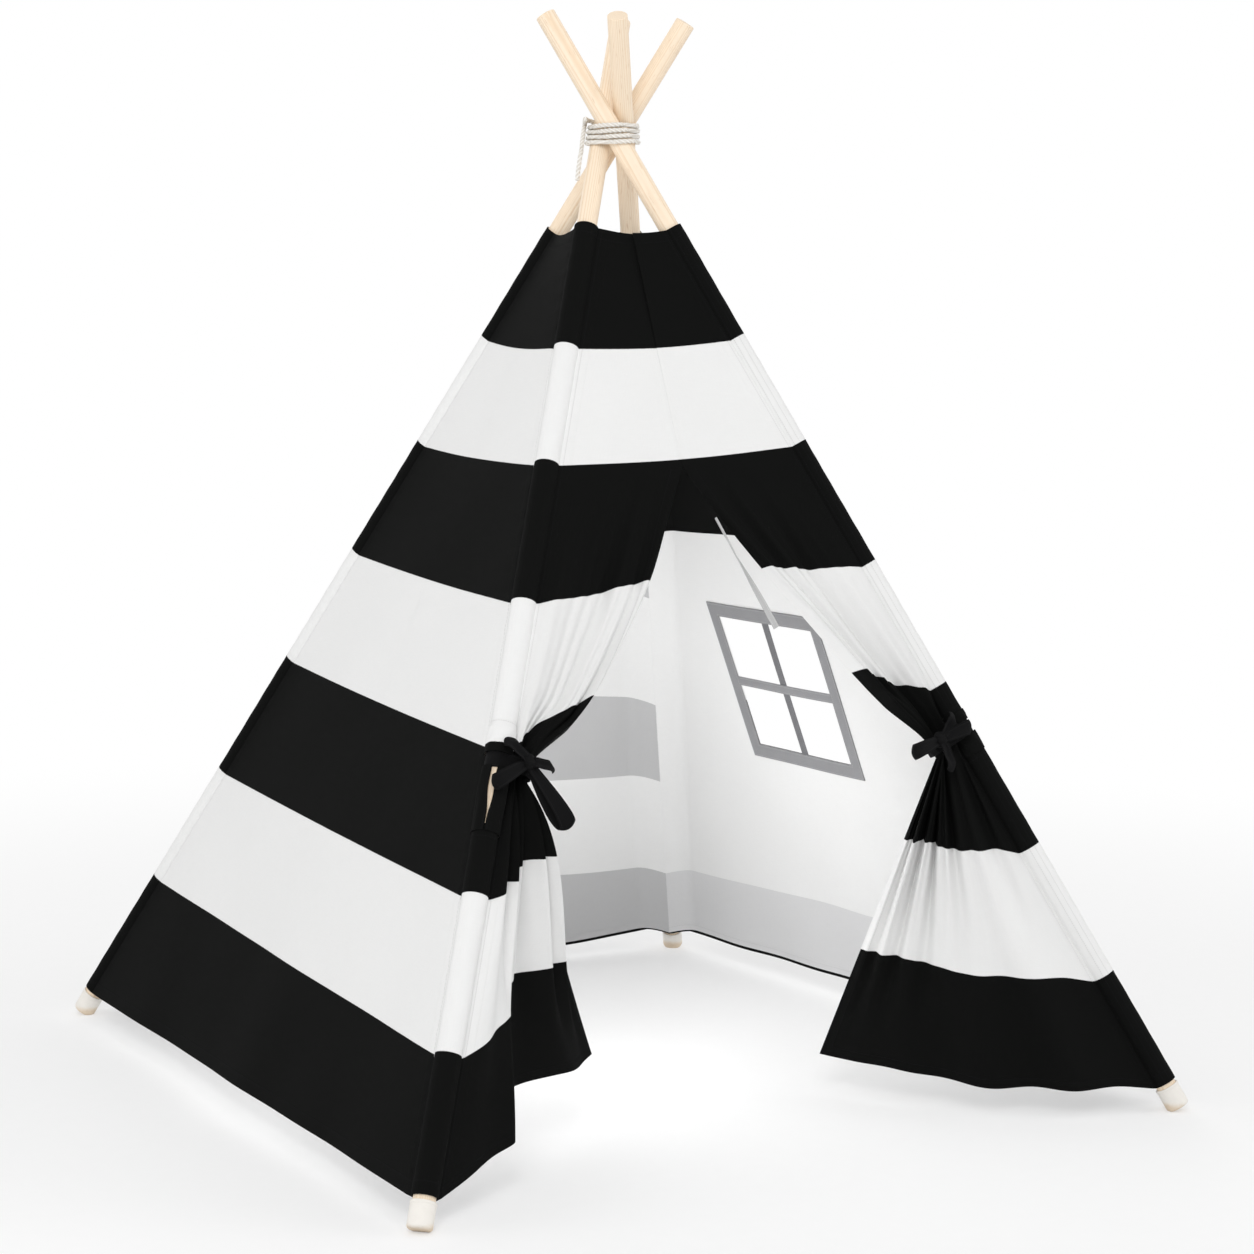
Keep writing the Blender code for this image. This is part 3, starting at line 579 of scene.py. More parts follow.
class Socket:
    """A shader value: arithmetic on it adds Math nodes."""

    def __init__(self, nodes, socket):
        self.nodes = nodes
        self.socket = socket

    def math(self, operation, *others, clamp=False):
        settings = {"operation": operation, "use_clamp": clamp}
        return self.nodes.node("ShaderNodeMath", settings, dict(enumerate((self, *others))))

    def __add__(self, other):
        return self.math("ADD", other)

    def __sub__(self, other):
        return self.math("SUBTRACT", other)

    def __rsub__(self, other):
        return self.nodes.node("ShaderNodeMath", {"operation": "SUBTRACT"}, {0: other, 1: self})

    def __mul__(self, other):
        return self.math("MULTIPLY", other)

    def __truediv__(self, other):
        return self.math("DIVIDE", other)

    def __abs__(self):
        return self.math("ABSOLUTE")

    def __lt__(self, other):
        return self.math("LESS_THAN", other)

    def __gt__(self, other):
        return self.math("GREATER_THAN", other)

    def __mod__(self, other):
        return self.math("FLOORED_MODULO", other)

    def sine(self):
        return self.math("SINE")

    def root(self):
        return self.math("SQRT")

    def clamped(self):
        return self.math("ADD", 0.0, clamp=True)

    __radd__ = __add__
    __rmul__ = __mul__


class Nodes:
    """A node tree that shader values add their nodes to."""

    def __init__(self, tree):
        self.tree = tree

    def node(self, kind, settings=None, values=None, output=0):
        made = self.tree.nodes.new(kind)
        for label, value in (settings or {}).items():
            setattr(made, label, value)
        for key, value in (values or {}).items():
            if isinstance(value, Socket):
                self.tree.links.new(value.socket, made.inputs[key])
            else:
                made.inputs[key].default_value = value
        return Socket(self, made.outputs[output])

    def seen(self):
        """1 where a ray comes from the camera, straight, mirrored or through something clear."""
        rays = self.tree.nodes.new("ShaderNodeLightPath")
        kinds = ("Camera", "Glossy", "Transmission")
        straight, mirrored, through = (Socket(self, rays.outputs[f"Is {kind} Ray"]) for kind in kinds)
        return straight.math("MAXIMUM", mirrored).math("MAXIMUM", through)


class Finish(Nodes):
    """A material built from nodes round the Principled shader."""

    def __init__(self, name, **constants):
        self.material = bpy.data.materials.new(name)
        self.material.use_nodes = True
        super().__init__(self.material.node_tree)
        self.shader = self.tree.nodes["Principled BSDF"]
        for label, value in constants.items():
            self.shader.inputs[label.replace("_", " ")].default_value = value

    def set(self, label, value):
        self.tree.links.new(value.socket, self.shader.inputs[label])

    def place(self):
        return self.node("ShaderNodeTexCoord", output="Object")

    def parts(self, vector):
        split = self.tree.nodes.new("ShaderNodeSeparateXYZ")
        self.tree.links.new(vector.socket, split.inputs[0])
        return [Socket(self, output) for output in split.outputs]

    def attribute(self, name):
        """The three numbers that the mesh carries under that name."""
        return self.parts(self.node("ShaderNodeAttribute", {"attribute_name": name}, output="Vector"))

    def vector(self, x, y, z=0.0):
        return self.node("ShaderNodeCombineXYZ", None, {0: x, 1: y, 2: z})

    def noise(self, where, scale, detail=2.0, roughness=0.5, distortion=0.0):
        """Noise from 0 to 1, with a mean of a half."""
        values = {"Vector": where, "Scale": scale, "Detail": detail}
        values.update({"Roughness": roughness, "Distortion": distortion})
        return self.node("ShaderNodeTexNoise", None, values)

    def fibres(self, vector, per_metre, detail=2.0):
        """Noise drawn out along the cloth or the wood, its scale given for each of the axes."""
        stretched = (axis * scale for axis, scale in zip(vector, per_metre))
        return self.noise(self.vector(*stretched), 1.0, detail)

    def mix(self, share, first, second):
        colours = (value if isinstance(value, Socket) else (*value, 1.0) for value in (first, second))
        values = dict(zip((0, 6, 7), (share, *colours)))
        return self.node("ShaderNodeMix", {"data_type": "RGBA"}, values, output=2)

    def shaded(self, colour, amount):
        """The colour times a value."""
        grey = self.node("ShaderNodeCombineColor", None, {0: amount, 1: amount, 2: amount})
        settings = {"data_type": "RGBA", "blend_type": "MULTIPLY"}
        return self.node("ShaderNodeMix", settings, {0: 1.0, 6: colour, 7: grey}, output=2)

    def ramp(self, value, low, high):
        """0 below low, 1 above high, smooth between."""
        values = {"Value": value, "From Min": low, "From Max": high}
        return self.node("ShaderNodeMapRange", {"interpolation_type": "SMOOTHSTEP"}, values)

    def done(self, colour, roughness, height, metres):
        """Colour, roughness and the bump of a height from 0 to 1, in metres. Gives the material."""
        self.set("Base Color", colour)
        self.set("Roughness", roughness)
        values = {"Strength": 1.0, "Distance": metres, "Height": height}
        self.set("Normal", self.node("ShaderNodeBump", None, values))
        return self.material


def canvas(name, inside=False, black_from=None):
    """Woven cotton in seven stripes, black at the hem, with hems, seams and stitches, and painted shade in
    the grooves where the stripes join.

    Inside, the same cloth is white, and the black stripes only show through it. Where the lining has
    a black top, black_from says how far up it starts, and only the lowest stripe shows through."""
    finish = Finish(name, Roughness=0.92, Specular_IOR_Level=0.04)
    across, along, _ = finish.attribute("cloth")
    stripe, seam, hem = finish.attribute("sewn")
    flat = finish.vector(across, along)

    fray = finish.noise(flat, 900.0)
    stripe = stripe + (fray - 0.5) * 0.006
    dark = (stripe % 2.0) < 1.0
    weft, warp = ((way * (2 * pi / YARN_PITCH)).sine() for way in (along, across))
    weave = weft * warp * 0.5 + 0.5
    slub = finish.fibres((across, along), (900.0, 60.0))
    thread = finish.fibres((across, along), (45.0, 1100.0))
    creases = finish.noise(flat, 9.0, 4.0, 0.55, 0.6)
    cloudy = finish.noise(flat, 3.2)

    dash = ((across + along) % STITCH_PITCH) < STITCH_LENGTH
    seam_row, hem_row = (
        abs(edge - middle) < STITCH_HALF_WIDTH for edge, middle in ((seam, SEAM_STITCH), (hem, HEM_STITCH))
    )
    stitch = (dash * (seam_row + hem_row)).clamped()
    hem_fold = 1 - finish.ramp(hem, *HEM_FOLD)
    fell = 1 - finish.ramp(seam, *SEAM_FELL)
    # Mask of the groove where two stripes are sewn together: it dents the bump and darkens the colour as
    # painted shade.
    join_groove_and_shade = 1 - finish.ramp(abs(((stripe + 0.5) % 1.0) - 0.5), *STRIPE_JOIN)

    if inside:
        pale, through = (0.89, 0.89, 0.885), (0.58, 0.58, 0.585)
        join_groove_and_shade = join_groove_and_shade * (0.0 if black_from else 0.2)
        if black_from:
            through = (0.74, 0.74, 0.745)
            dark = stripe < 1.0
        colour = finish.mix(dark, pale, through)
        if black_from:
            in_black = (along + across * BLACK_LINING_TILT) > black_from
            colour = finish.mix(in_black, colour, BLACK_CANVAS)
        colour = finish.mix((hem < HEM_EDGE) * (stripe < 0.5), colour, BLACK_CANVAS)
        thread_colour = (0.62, 0.62, 0.61)
    else:
        colour = finish.mix(dark, WHITE_CANVAS, BLACK_CANVAS)
        thread_colour = finish.mix(dark, (0.66, 0.66, 0.65), (0.010, 0.010, 0.011))
    colour = finish.mix(stitch * 0.75, colour, thread_colour)
    tone = (slub - 0.5) * 0.05 + (thread - 0.5) * 0.05 + (cloudy - 0.5) * 0.05 + (weave - 0.5) * 0.04
    # At each stripe's join the tone is darkened a little: painted shade of the seam's groove.
    tone = tone + 1.0 - join_groove_and_shade * 0.05
    height = weave * 0.10 + slub * 0.06 + thread * 0.06 + creases * 0.55 - stitch * 0.16
    height = height + hem_fold * 0.28 + fell * 0.20 - join_groove_and_shade * 0.06
    roughness = 0.86 + (slub - 0.5) * 0.12 + stitch * 0.05
    return finish.done(finish.shaded(colour, tone), roughness, height, 0.0016)


def wood():
    """Beech dowel, pale: rings about an axis beside the pole's own, and fine fibres along it."""
    finish = Finish("beech_dowel", Roughness=0.5, Specular_IOR_Level=0.3)
    place = x, y, _ = finish.attribute("cloth")
    warp = finish.fibres(place, (30.0, 30.0, 2.2), 3.0)
    off_x = x - 0.021 + (warp - 0.5) * 0.010
    off_y = y + 0.009 + (warp - 0.5) * 0.007
    ring = (off_x * off_x + off_y * off_y).root() / 0.0026
    late = finish.ramp(ring % 1.0, 0.35, 0.95)
    fibre = finish.fibres(place, (1500.0, 1500.0, 24.0), 3.0)
    fleck = finish.ramp(finish.fibres(place, (500.0, 500.0, 45.0)), 0.62, 0.72)
    tone = finish.fibres(place, (12.0, 12.0, 1.6))
    colour = finish.mix(late, (0.935, 0.790, 0.620), (0.860, 0.680, 0.490))
    colour = finish.mix(fleck * 0.55, colour, (0.70, 0.48, 0.30))
    colour = finish.shaded(colour, 1.0 + (fibre - 0.5) * 0.14 + (tone - 0.5) * 0.10)
    roughness = 0.46 + fibre * 0.16 + fleck * 0.06
    return finish.done(colour, roughness, fibre * 0.5 + late * 0.3 - fleck * 0.3, 0.00025)


def rubber():
    """Moulded rubber, off-white, scuffed and tanned where it meets the floor."""
    finish = Finish("foot_rubber", Roughness=0.6, Specular_IOR_Level=0.4)
    place = finish.place()
    height = finish.parts(place)[2]
    grain = finish.noise(place, 1600.0, 3.0)
    blot = finish.noise(place, 90.0, 3.0)
    worn = 1 - finish.ramp(height + (blot - 0.5) * 0.006, 0.006, 0.017)
    scuff = finish.ramp(finish.noise(place, 420.0, 4.0, 0.7), 0.60, 0.70) * worn
    colour = finish.mix(worn, (0.83, 0.80, 0.75), (0.72, 0.60, 0.46))
    colour = finish.mix(scuff * 0.6, colour, (0.36, 0.30, 0.24))
    colour = finish.shaded(colour, 1.0 + (grain - 0.5) * 0.08 + (blot - 0.5) * 0.06)
    roughness = 0.48 + grain * 0.20 + scuff * 0.15
    return finish.done(colour, roughness, grain * 0.5 + blot * 0.3 - scuff * 0.3, 0.0003)


def cotton_rope():
    """Three-strand cotton: fibres run with each strand, with painted shade making it darker down in the
    grooves.
    """
    finish = Finish("cotton_rope", Roughness=0.95, Specular_IOR_Level=0.15)
    around, along, depth = finish.attribute("cloth")
    fibre = finish.fibres((around, along), (2600.0, 240.0), 3.0)
    blot = finish.fibres((around, along), (120.0, 60.0))
    # Deep in the grooves between strands the colour and amount are darkened: painted shade.
    amount = 1.0 + (fibre - 0.5) * 0.16 + (blot - 0.5) * 0.08 - depth * 0.16
    groove_shaded_tint = finish.mix(depth, (0.93, 0.91, 0.87), (0.80, 0.74, 0.65))
    return finish.done(finish.shaded(groove_shaded_tint, amount), 0.88 + fibre * 0.10, fibre, 0.0005)


def twill(name, tone, pale, pitch=0.0016):
    """Narrow woven tape: slanting ribs that turn at the middle, and a firm edge."""
    finish = Finish(name, Roughness=0.85, Specular_IOR_Level=0.10)
    across, along, _ = finish.attribute("cloth")
    edge = finish.attribute("sewn")[2]
    rib = ((abs(across) + along) * (2 * pi / pitch)).sine() * 0.5 + 0.5
    fuzz = finish.fibres((across, along), (1400.0, 700.0), 3.0)
    soft = finish.fibres((across, along), (60.0, 40.0))
    border = 1 - finish.ramp(edge, 0.0008, 0.0016)
    stitch = (abs(edge - 0.0026) < 0.0004) * ((along % STITCH_PITCH) < 0.0023)
    colour = finish.mix(rib * 0.5 + fuzz * 0.25, tone, pale)
    colour = finish.mix(stitch * 0.5, colour, tuple(min(1.0, 1.5 * value + 0.01) for value in pale))
    colour = finish.shaded(colour, 1.0 + (fuzz - 0.5) * 0.20 + (soft - 0.5) * 0.12)
    height = rib * 0.45 + fuzz * 0.25 + border * 0.35 - stitch * 0.3 + soft * 0.6
    return finish.done(colour, 0.72 + fuzz * 0.22, height, 0.0006)


def drawn_metal():
    """Drawn aluminium tube, brushed round, dull at the rim."""
    finish = Finish("drawn_aluminium", Metallic=1.0, Roughness=0.3)
    place = finish.place()
    brushed = finish.noise(place, 2400.0)
    cloudy = finish.noise(place, 60.0)
    colour = finish.mix(brushed, (0.66, 0.66, 0.67), (0.82, 0.82, 0.83))
    return finish.done(colour, 0.24 + brushed * 0.16 + cloudy * 0.12, brushed, 0.0001)


def make_finishes():
    """The materials of each kind of piece: the second and third are for the inside of the cloth."""
    lining = canvas("canvas_lining", inside=True)
    right_lining = canvas("right_lining", inside=True, black_from=BLACK_LINING_UP)
    striped = canvas("striped_canvas")
    return {
        "wood": [wood()],
        "rubber": [rubber()],
        "metal": [drawn_metal()],
        "rope": [cotton_rope()],
        "ribbon": [twill("black_ribbon", (0.0035, 0.0035, 0.0038), (0.0075, 0.0075, 0.008))],
        "tape": [twill("grey_window_tape", (0.26, 0.26, 0.27), (0.40, 0.40, 0.41), 0.0022)],
        "bar": [twill("grey_window_bar", (0.16, 0.16, 0.17), (0.27, 0.27, 0.28), 0.0022)],
        "pale": [twill("pale_tie_tape", (0.52, 0.52, 0.52), (0.64, 0.64, 0.64))],
        "striped": [striped, lining],
        "right": [striped, right_lining],
        "sleeve": [canvas("sleeve_canvas"), canvas("sleeve_lining", inside=True), lining],
        "corner": [lining, lining],
        "right_corner": [right_lining, right_lining],
    }


FINISHES = make_finishes()


def slack(x, y, width, seed):
    """How far cloth of that width lies off its plane: long slanting waves, and puckers at the seams.

    The waves are sines of mixtures of x and y, and they vanish at both seams. The puckers are sines
    along the seam whose height falls off with the distance from it."""
    share = np.clip(np.abs(x) / (width / 2), 0, 1)
    rim = np.clip(width / 2 - np.abs(x), 0, None)
    low = np.exp(-y / HANGING_REACH)
    waves = sum(high * np.sin(by_x * x + by_y * y + part * seed) for high, by_x, by_y, part in SLACK_WAVES)
    hanging = sum(high * low * np.sin(by_x * x + part * seed) for high, by_x, part in SLACK_HANGING)
    pucker = np.sin(2 * pi * y / PUCKER_PITCH + 2.2 * np.sin(9.0 * y + np.sign(x) + seed))
    near_seam = (rim / PUCKER_REACH) * np.exp(1 - rim / PUCKER_REACH)
    return (waves + hanging) * (1 - share**4) + PUCKER_HEIGHT * pucker * near_seam


def tucked(points, pole, depth):
    """Points moved towards the pole's axis, so that a seam's edge ends inside the sleeve's cloth."""
    return points - units(pole.offset(points)) * depth


class Panel:
    """The cloth between two poles' sleeves, as seen from outside with the first pole on the left."""

    def __init__(self, left, right, seed, sag=0.0):
        self.left = left
        self.right = right
        self.halves = ((-1, left, right), (1, right, left))
        self.seed = seed
        self.sag = sag
        self.normal = unit(left.outward(right) + right.outward(left))
        ends = (left.seam(right, along) + right.seam(left, along) for along in (HEM_ALONG, COVER_ALONG))
        low, high = ends
        self.rise = (high - low) / 2
        self.height = np.linalg.norm(self.rise)

    def along(self, up):
        return HEM_ALONG + (COVER_ALONG - HEM_ALONG) * up / self.height

    def seams(self, up):
        along = self.along(up)
        return self.left.seam(self.right, along), self.right.seam(self.left, along)

    def width(self, up):
        low, high = self.seams(up)
        return np.linalg.norm(high - low, axis=-1)

    def place(self, x, up, lift=0.0):
        """Points by distance right of the middle line and up from the hem, lifted off the cloth."""
        low, high = self.seams(up)
        wide = self.width(up)
        across = 0.5 + x / wide
        dip = TOP_DIP * up / self.height * np.sin(pi * across)
        dip = dip + self.sag * (1 - up / self.height) * 4 * across * (1 - across)
        points = low + (high - low) * across[..., None] - np.multiply.outer(dip, unit(self.rise))
        return points + np.multiply.outer(slack(x, up, wide, self.seed) + lift, self.normal)

    def stripes(self, x, up):
        along = self.along(up)
        return between(self.left.stripes(along), self.right.stripes(along), 0.5 + x / self.width(up))

    def grid(self, x, up, hole=None):
        seam = self.width(up) / 2 - np.abs(x)
        sewn = layers(self.stripes(x, up), seam, np.minimum(up, self.height - up))
        points = self.place(x, up)
        points[:, -1] = tucked(points[:, -1], self.right if x[0, -1] > 0 else self.left, TUCK)
        return Grid(points, layers(x, up, 0), sewn, hole=hole).facing(self.normal)


def crumple(item, pole, other):
    """Works out how the half panel would fold with its pole, narrowing onto its seam until the two halves'
    edges meet, and gives the piece its own mesh.

    Square to the pole, the middle line's offset from the seam has to become the folded middle line's
    offset. The difference of the two is the way to flatten, and its share of the first is the loss."""
    seam = pole.seam(other, HEM_ALONG)
    offset = (seam + other.seam(pole, HEM_ALONG)) / 2 - seam
    far = other.folded(other.seam(pole, HEM_ALONG))
    goal = pole.unfolded((pole.folded(seam) + far) / 2) - seam
    square = np.eye(3) - np.outer(pole.along, pole.along)
    loss = square @ (offset - goal)
    way = unit(loss)
    keep = 1 - np.linalg.norm(loss) / ((square @ offset) @ way)
    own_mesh(item)


def build_poles(poles):
    """Dowel sections and foot caps, and a finish on the connector tubes."""
    quarter = np.linspace(0, pi / 2, 5)
    arris = POLE_END_ROUND * (1 - np.cos(quarter))
    turn = POLE_END_ROUND * (1 - np.sin(quarter))
    for pole in poles.values():
        cap_end = (CAP_RADIUS * sin(pole.lean) - CAP_PRESSED) / cos(pole.lean)
        wood_start = cap_end + CAP_FLOOR + CLEARANCE
        upper = (POLE_LENGTH - LOWEST_JOINT_ALONG) / (POLE_SECTIONS - 1)
        ends = [wood_start] + [LOWEST_JOINT_ALONG + upper * count for count in range(POLE_SECTIONS)]
        for number in range(POLE_SECTIONS):
            low = ends[number] + SECTION_GAP / 2
            high = ends[number + 1] - SECTION_GAP / 2
            profile = [(0.0, high), (POLE_RADIUS * 0.5, high)]
            profile += [(POLE_RADIUS - t, high - a) for t, a in zip(turn, arris)]
            profile += [(POLE_RADIUS, s) for s in np.linspace(high, low, 12)[1:-1]]
            profile += [(POLE_RADIUS - t, low + a) for t, a in zip(turn[::-1], arris[::-1])]
            profile += [(POLE_RADIUS * 0.5, low), (0.0, low)]
            name, node = f"{pole.name}_dowel_{number + 1}", f"{pole.name}_pole_{number + 1}"
            piece(name, [turned(pole, profile)], "wood", pole.body, node, sharp=radians(60))
            if number:
                for slot in frame["nodes"][f"{pole.name}_ferrule_{number}"].material_slots:
                    slot.material = FINISHES["metal"][0]
        build_cap(pole, cap_end, wood_start)


def build_cap(pole, cap_end, wood_start):
    """A cup on the pole's foot. Everything below the floor is pressed up to it."""
    inner = POLE_RADIUS + CLEARANCE
    lip = CAP_RADIUS + CAP_LIP_PROUD
    bore_floor = wood_start - CLEARANCE
    top, under = CAP_REACH, CAP_REACH - CAP_LIP_WIDTH
    edge = cap_end + CAP_EDGE_ROUND
    profile = [(0.0, bore_floor), (inner, bore_floor), (inner, top - CAP_BEVEL), (inner + CAP_BEVEL, top)]
    profile += [(lip - CAP_BEVEL, top), (lip, top - CAP_BEVEL), (lip, under + 0.0005)]
    profile += [(lip - 0.0003, under), (CAP_RADIUS, under - 0.0004)]
    profile += [(CAP_RADIUS, s) for s in np.linspace(under - 0.002, edge, 9)]
    for t in np.linspace(0, pi / 2, 9)[1:]:
        profile.append((CAP_RADIUS - CAP_EDGE_ROUND * (1 - cos(t)), edge - CAP_EDGE_ROUND * sin(t)))
    profile += [(CAP_RADIUS * share, cap_end) for share in (0.6, 0.3, 0.0)]
    grid = turned(pole, profile)
    grid.spots[:, 2] = np.maximum(grid.spots[:, 2], 0.0)
    node = f"{pole.name}_foot_cap"
    piece(f"{pole.name}_cap", [grid], "rubber", pole.body, node, sharp=radians(40))


def build_sleeves(poles):
    """Cloth tubes on the poles: a circle carried along the pole, its radius pinched in small waves."""
    for name, pole in poles.items():
        if name in SLEEVE_OPEN:
            below, above = SLEEVE_OPEN[name]
            spans = (("_lower", HEM_ALONG, TIE_ALONG - below), ("_upper", TIE_ALONG + above, COVER_ALONG))
        else:
            spans = (("", HEM_ALONG, COVER_ALONG),)
        first, second = pole.towards(pole.before), pole.outward(pole.before)
        following = pole.towards(pole.after)
        inside_start = atan2(following @ second, following @ first) % (2 * pi) + LINING_INSET
        inside_start -= 0.0 if name == "front_left" else SEAM_ANGLE
        inside_end = 2 * pi - LINING_INSET + (0.0 if name == "front_right" else SEAM_ANGLE)
        lap_step = LAP_STRIPE_STEP if name == "front_left" else 0.0
        for ending, low, high in spans:
            count = max(24, int((high - low) / 0.006))
            angle = np.linspace(0, 2 * pi, 61)
            tall, round_ = np.meshgrid(np.linspace(high, low, count), angle, indexing="ij")
            rings = 2 * pi * tall / SLEEVE_PINCH_PITCH
            pinch = np.sin(rings + 2 * np.sin(round_) + 1.3 * np.sin(17 * tall))
            drag = np.sin(3 * round_ + 24 * tall)
            radius = SLEEVE_RADIUS - CLOTH / 2 - SLEEVE_EASE - SLEEVE_PINCH * pinch - SLEEVE_DRAG * drag
            points = pole.point(tall) + radius[..., None] * swung(round_, first, second)
            lap = (round_ > SEAM_ANGLE) & (round_ < SEAM_ANGLE + LAP_ANGLE)
            stripe = np.minimum(pole.stripes(tall) + lap_step * lap, LAST_STRIPE)
            fold = np.abs((round_ - SEAM_ANGLE - LAP_ANGLE + pi) % (2 * pi) - pi) * SLEEVE_RADIUS
            sewn = layers(stripe, fold, np.minimum(tall - low, high - tall))
            cloth = layers(round_ * SLEEVE_RADIUS, tall, 0)
            grid = Grid(points[:, :-1], cloth, sewn, wrap=True).around(pole)
            face = np.tile(angle[:-1] + pi / 60, count - 1)
            inside = ((face > inside_start) & (face < inside_end)) | (face < inside_end - 2 * pi)
            grid.slot = inside.astype(int)
            node = f"{name}_sleeve{ending}"
            item = piece(f"{node}_cloth", [grid], "sleeve", pole.body, node, CLOTH)


def build_facings(side, flap):
    """Strips of sleeve that run on from the sleeve's cut ends up to the tie and leave a narrow slot.

    Each is an arc about the pole between two angles from the door's side, with small waves. They run
    under the sleeve's end and under the tie's strap."""
    pole = flap.pole
    open_below, open_above = SLEEVE_OPEN[pole.name]
    below = (TIE_ALONG - open_below - FACING_LAP, TIE_ALONG - TIE_WIDTH / 2 + STRAP_LAP)
    above = (TIE_ALONG + TIE_WIDTH / 2 - STRAP_LAP, TIE_ALONG + open_above + FACING_LAP)
    for number, (place, *degrees) in enumerate(FACINGS[side]):
        low, high = below if place == "below" else above
        low_start, high_start, low_end, high_end = np.radians(degrees)
        up, across = np.meshgrid(np.linspace(0, 1, 40), np.linspace(0, 1, 41), indexing="ij")
        start, end = between(low_start, high_start, up), between(low_end, high_end, up)
        sway = radians(3) * np.sin(9 * up + 2 * number) * np.sin(pi / 2 * across)
        angle = between(start, end, across) + sway
        radius = SLEEVE_RADIUS + 0.0008 + 0.0012 * np.sin(pi * across) ** 2 * np.sin(pi * up)
        radius = radius + 0.0004 * np.sin(7 * angle + 5 * up)
        along = between(low, high, up)
        points = pole.point(along) + radius[..., None] * swung(angle, flap.towards, flap.outward)
        cloth = layers(angle * SLEEVE_RADIUS, along, 0)
        edge = np.minimum(across, 1 - across) * np.abs(end - start) * SLEEVE_RADIUS
        sewn = layers(pole.stripes(along), edge + 0.002, 0.05)
        grid = Grid(points, cloth, sewn).around(pole)
        node = f"{pole.name}_sleeve_{'lower' if place == 'below' else 'upper'}"
        name = f"{pole.name}_facing_{number + 1}"
        item = piece(name, [grid], "striped", pole.body, node, CLOTH)
        wide = float(np.abs(end - start).mean()) * (SLEEVE_RADIUS + 0.0015)
        high - low


def build_inner_tape(flap):
    """A pale tie tape that hangs free inside the slit's top and turns flat to the door as it falls."""
    pole = flap.pole
    down, share = np.meshgrid(np.linspace(0, 1, 61), np.linspace(-0.5, 0.5, 9), indexing="ij")
    along = between(*INNER_TAPE_ALONG, down)
    reach = between(*INNER_TAPE_REACH, down)[..., None] * flap.towards
    inside = (INNER_TAPE_INSIDE * down + 0.0012 * np.sin(5 * down))[..., None] * flap.outward
    lean = between(radians(65), radians(15), down) + 0.12 * np.sin(7 * down)
    cross_way = swung(lean, flap.towards, flap.outward)
    across = share * INNER_TAPE_WIDTH * (1 - 0.10 * np.exp(-down / 0.08))
    points = pole.point(along) + reach - inside + across[..., None] * cross_way
    cupped = 0.0007 * np.cos(2 * pi * share) * np.sin(pi * down)
    points = points + cupped[..., None] * np.cross(cross_way, pole.along)
    grid = Grid(points, layers(across, along, 0), layers(0, 0, INNER_TAPE_WIDTH / 2 - np.abs(across)))
    node = "front_right_panel"
    item = piece("inner_tie_tape", [grid], "pale", pole.body, node, RIBBON_THICK)
    length = float(np.linalg.norm(points[-1, 4] - points[0, 4]))
    crumple(item, pole, flap.other)


def build_corner(name, panel, number):
    """A facing inside a rear corner: off the panel near its seam, bending in to the corner's middle."""
    side, pole, other = panel.halves[number]
    ups, shares = np.linspace(0.003, panel.height - 0.012, 111), np.linspace(0, 1, 21)
    up, share = np.meshgrid(ups, shares, indexing="ij")
    half = panel.width(up) / 2
    reach = np.minimum(CORNER_REACH, half * 0.8)
    run = between(side * (half - reach), side * half, share)
    middle = unit(pole.towards(pole.before) + pole.towards(pole.after))
    in_corner = pole.point(panel.along(up)) + middle * CORNER_RADIUS
    bend = (in_corner - panel.place(side * half, up)) * (share**2)[..., None]
    points = panel.place(run, up, -0.4 * CLOTH) + bend
    sewn = layers(panel.stripes(run, up), 0.03, np.minimum(up, panel.height - up))
    grid = Grid(points, layers(run, up, 0), sewn).facing(panel.normal)
    finish = "right_corner" if name == "right_panel" else "corner"
    item = piece(f"{name}_{pole.name}_corner", [grid], finish, pole.body, name, CLOTH / 2)
    flat = (float(np.linalg.norm(points[:, 0] - points[:, -1], axis=1).mean()), panel.height)
    crumple(item, pole, other)


def build_half(name, panel, pole, other, grid, finish, opening=0.0):
    """Half a panel. Each panel is two halves that meet on its middle line and fold with their poles."""
    item = piece(f"{name}_{pole.name}_half", [grid], finish, pole.body, name, CLOTH)
    low, high = panel.width(np.array([0.0, panel.height]))
    flat, cut = (low / 2, panel.height), (low + high) / 4 * panel.height - opening
    crumple(item, pole, other)


def build_plain_panel(name, panel):
    for side, pole, other in panel.halves:
        ups, shares = np.linspace(0, panel.height, 131), np.linspace(0, 1, 61)
        up, share = np.meshgrid(ups, shares, indexing="ij")
        x = side * share * panel.width(up) / 2
        x[:, 0] = -side * MEET
        build_half(name, panel, pole, other, panel.grid(x, up), "striped")


def build_right_panel(panel):
    """The right panel round its window, its grid lines laid on the opening's edges.

    The column lines stand upright as far as the window's head and lean in with the panel above it."""
    half_wide = WINDOW_WIDTH / 2 - WINDOW_TAPE
    half_high = WINDOW_HEIGHT / 2 - WINDOW_TAPE
    low, high = WINDOW_MIDDLE_UP - half_high, WINDOW_MIDDLE_UP + half_high
    below, beside = np.linspace(0, low, 44)[:-1], np.linspace(low, high, 25)[:-1]
    ups = np.concatenate((below, beside, np.linspace(high, panel.height, 66)))
    wide = panel.width(ups)
    lean = np.where(ups <= high, 1.0, wide / panel.width(high))[:, None]
    inner, outer = 14, 36
    to_edge, to_seam = np.linspace(0, 1, inner), np.linspace(0, 1, outer)[1:]
    for side, pole, other in panel.halves:
        edge = (WINDOW_MIDDLE_REARWARD + side * half_wide) * lean
        seam = side * wide[:, None] / 2
        x = np.concatenate((edge * to_edge, edge + (seam - edge) * to_seam), axis=1)
        x[:, 0] = -side * MEET
        up = np.repeat(ups[:, None], x.shape[1], axis=1)
        middle = (ups[:-1] + ups[1:]) / 2
        hole = ((middle > low) & (middle < high))[:, None] & (np.arange(x.shape[1] - 1) < inner - 1)
        opening = abs(WINDOW_MIDDLE_REARWARD + side * half_wide) * 2 * half_high
        build_half("right_panel", panel, pole, other, panel.grid(x, up, hole), "right", opening)
        build_window(panel, side, pole, other)


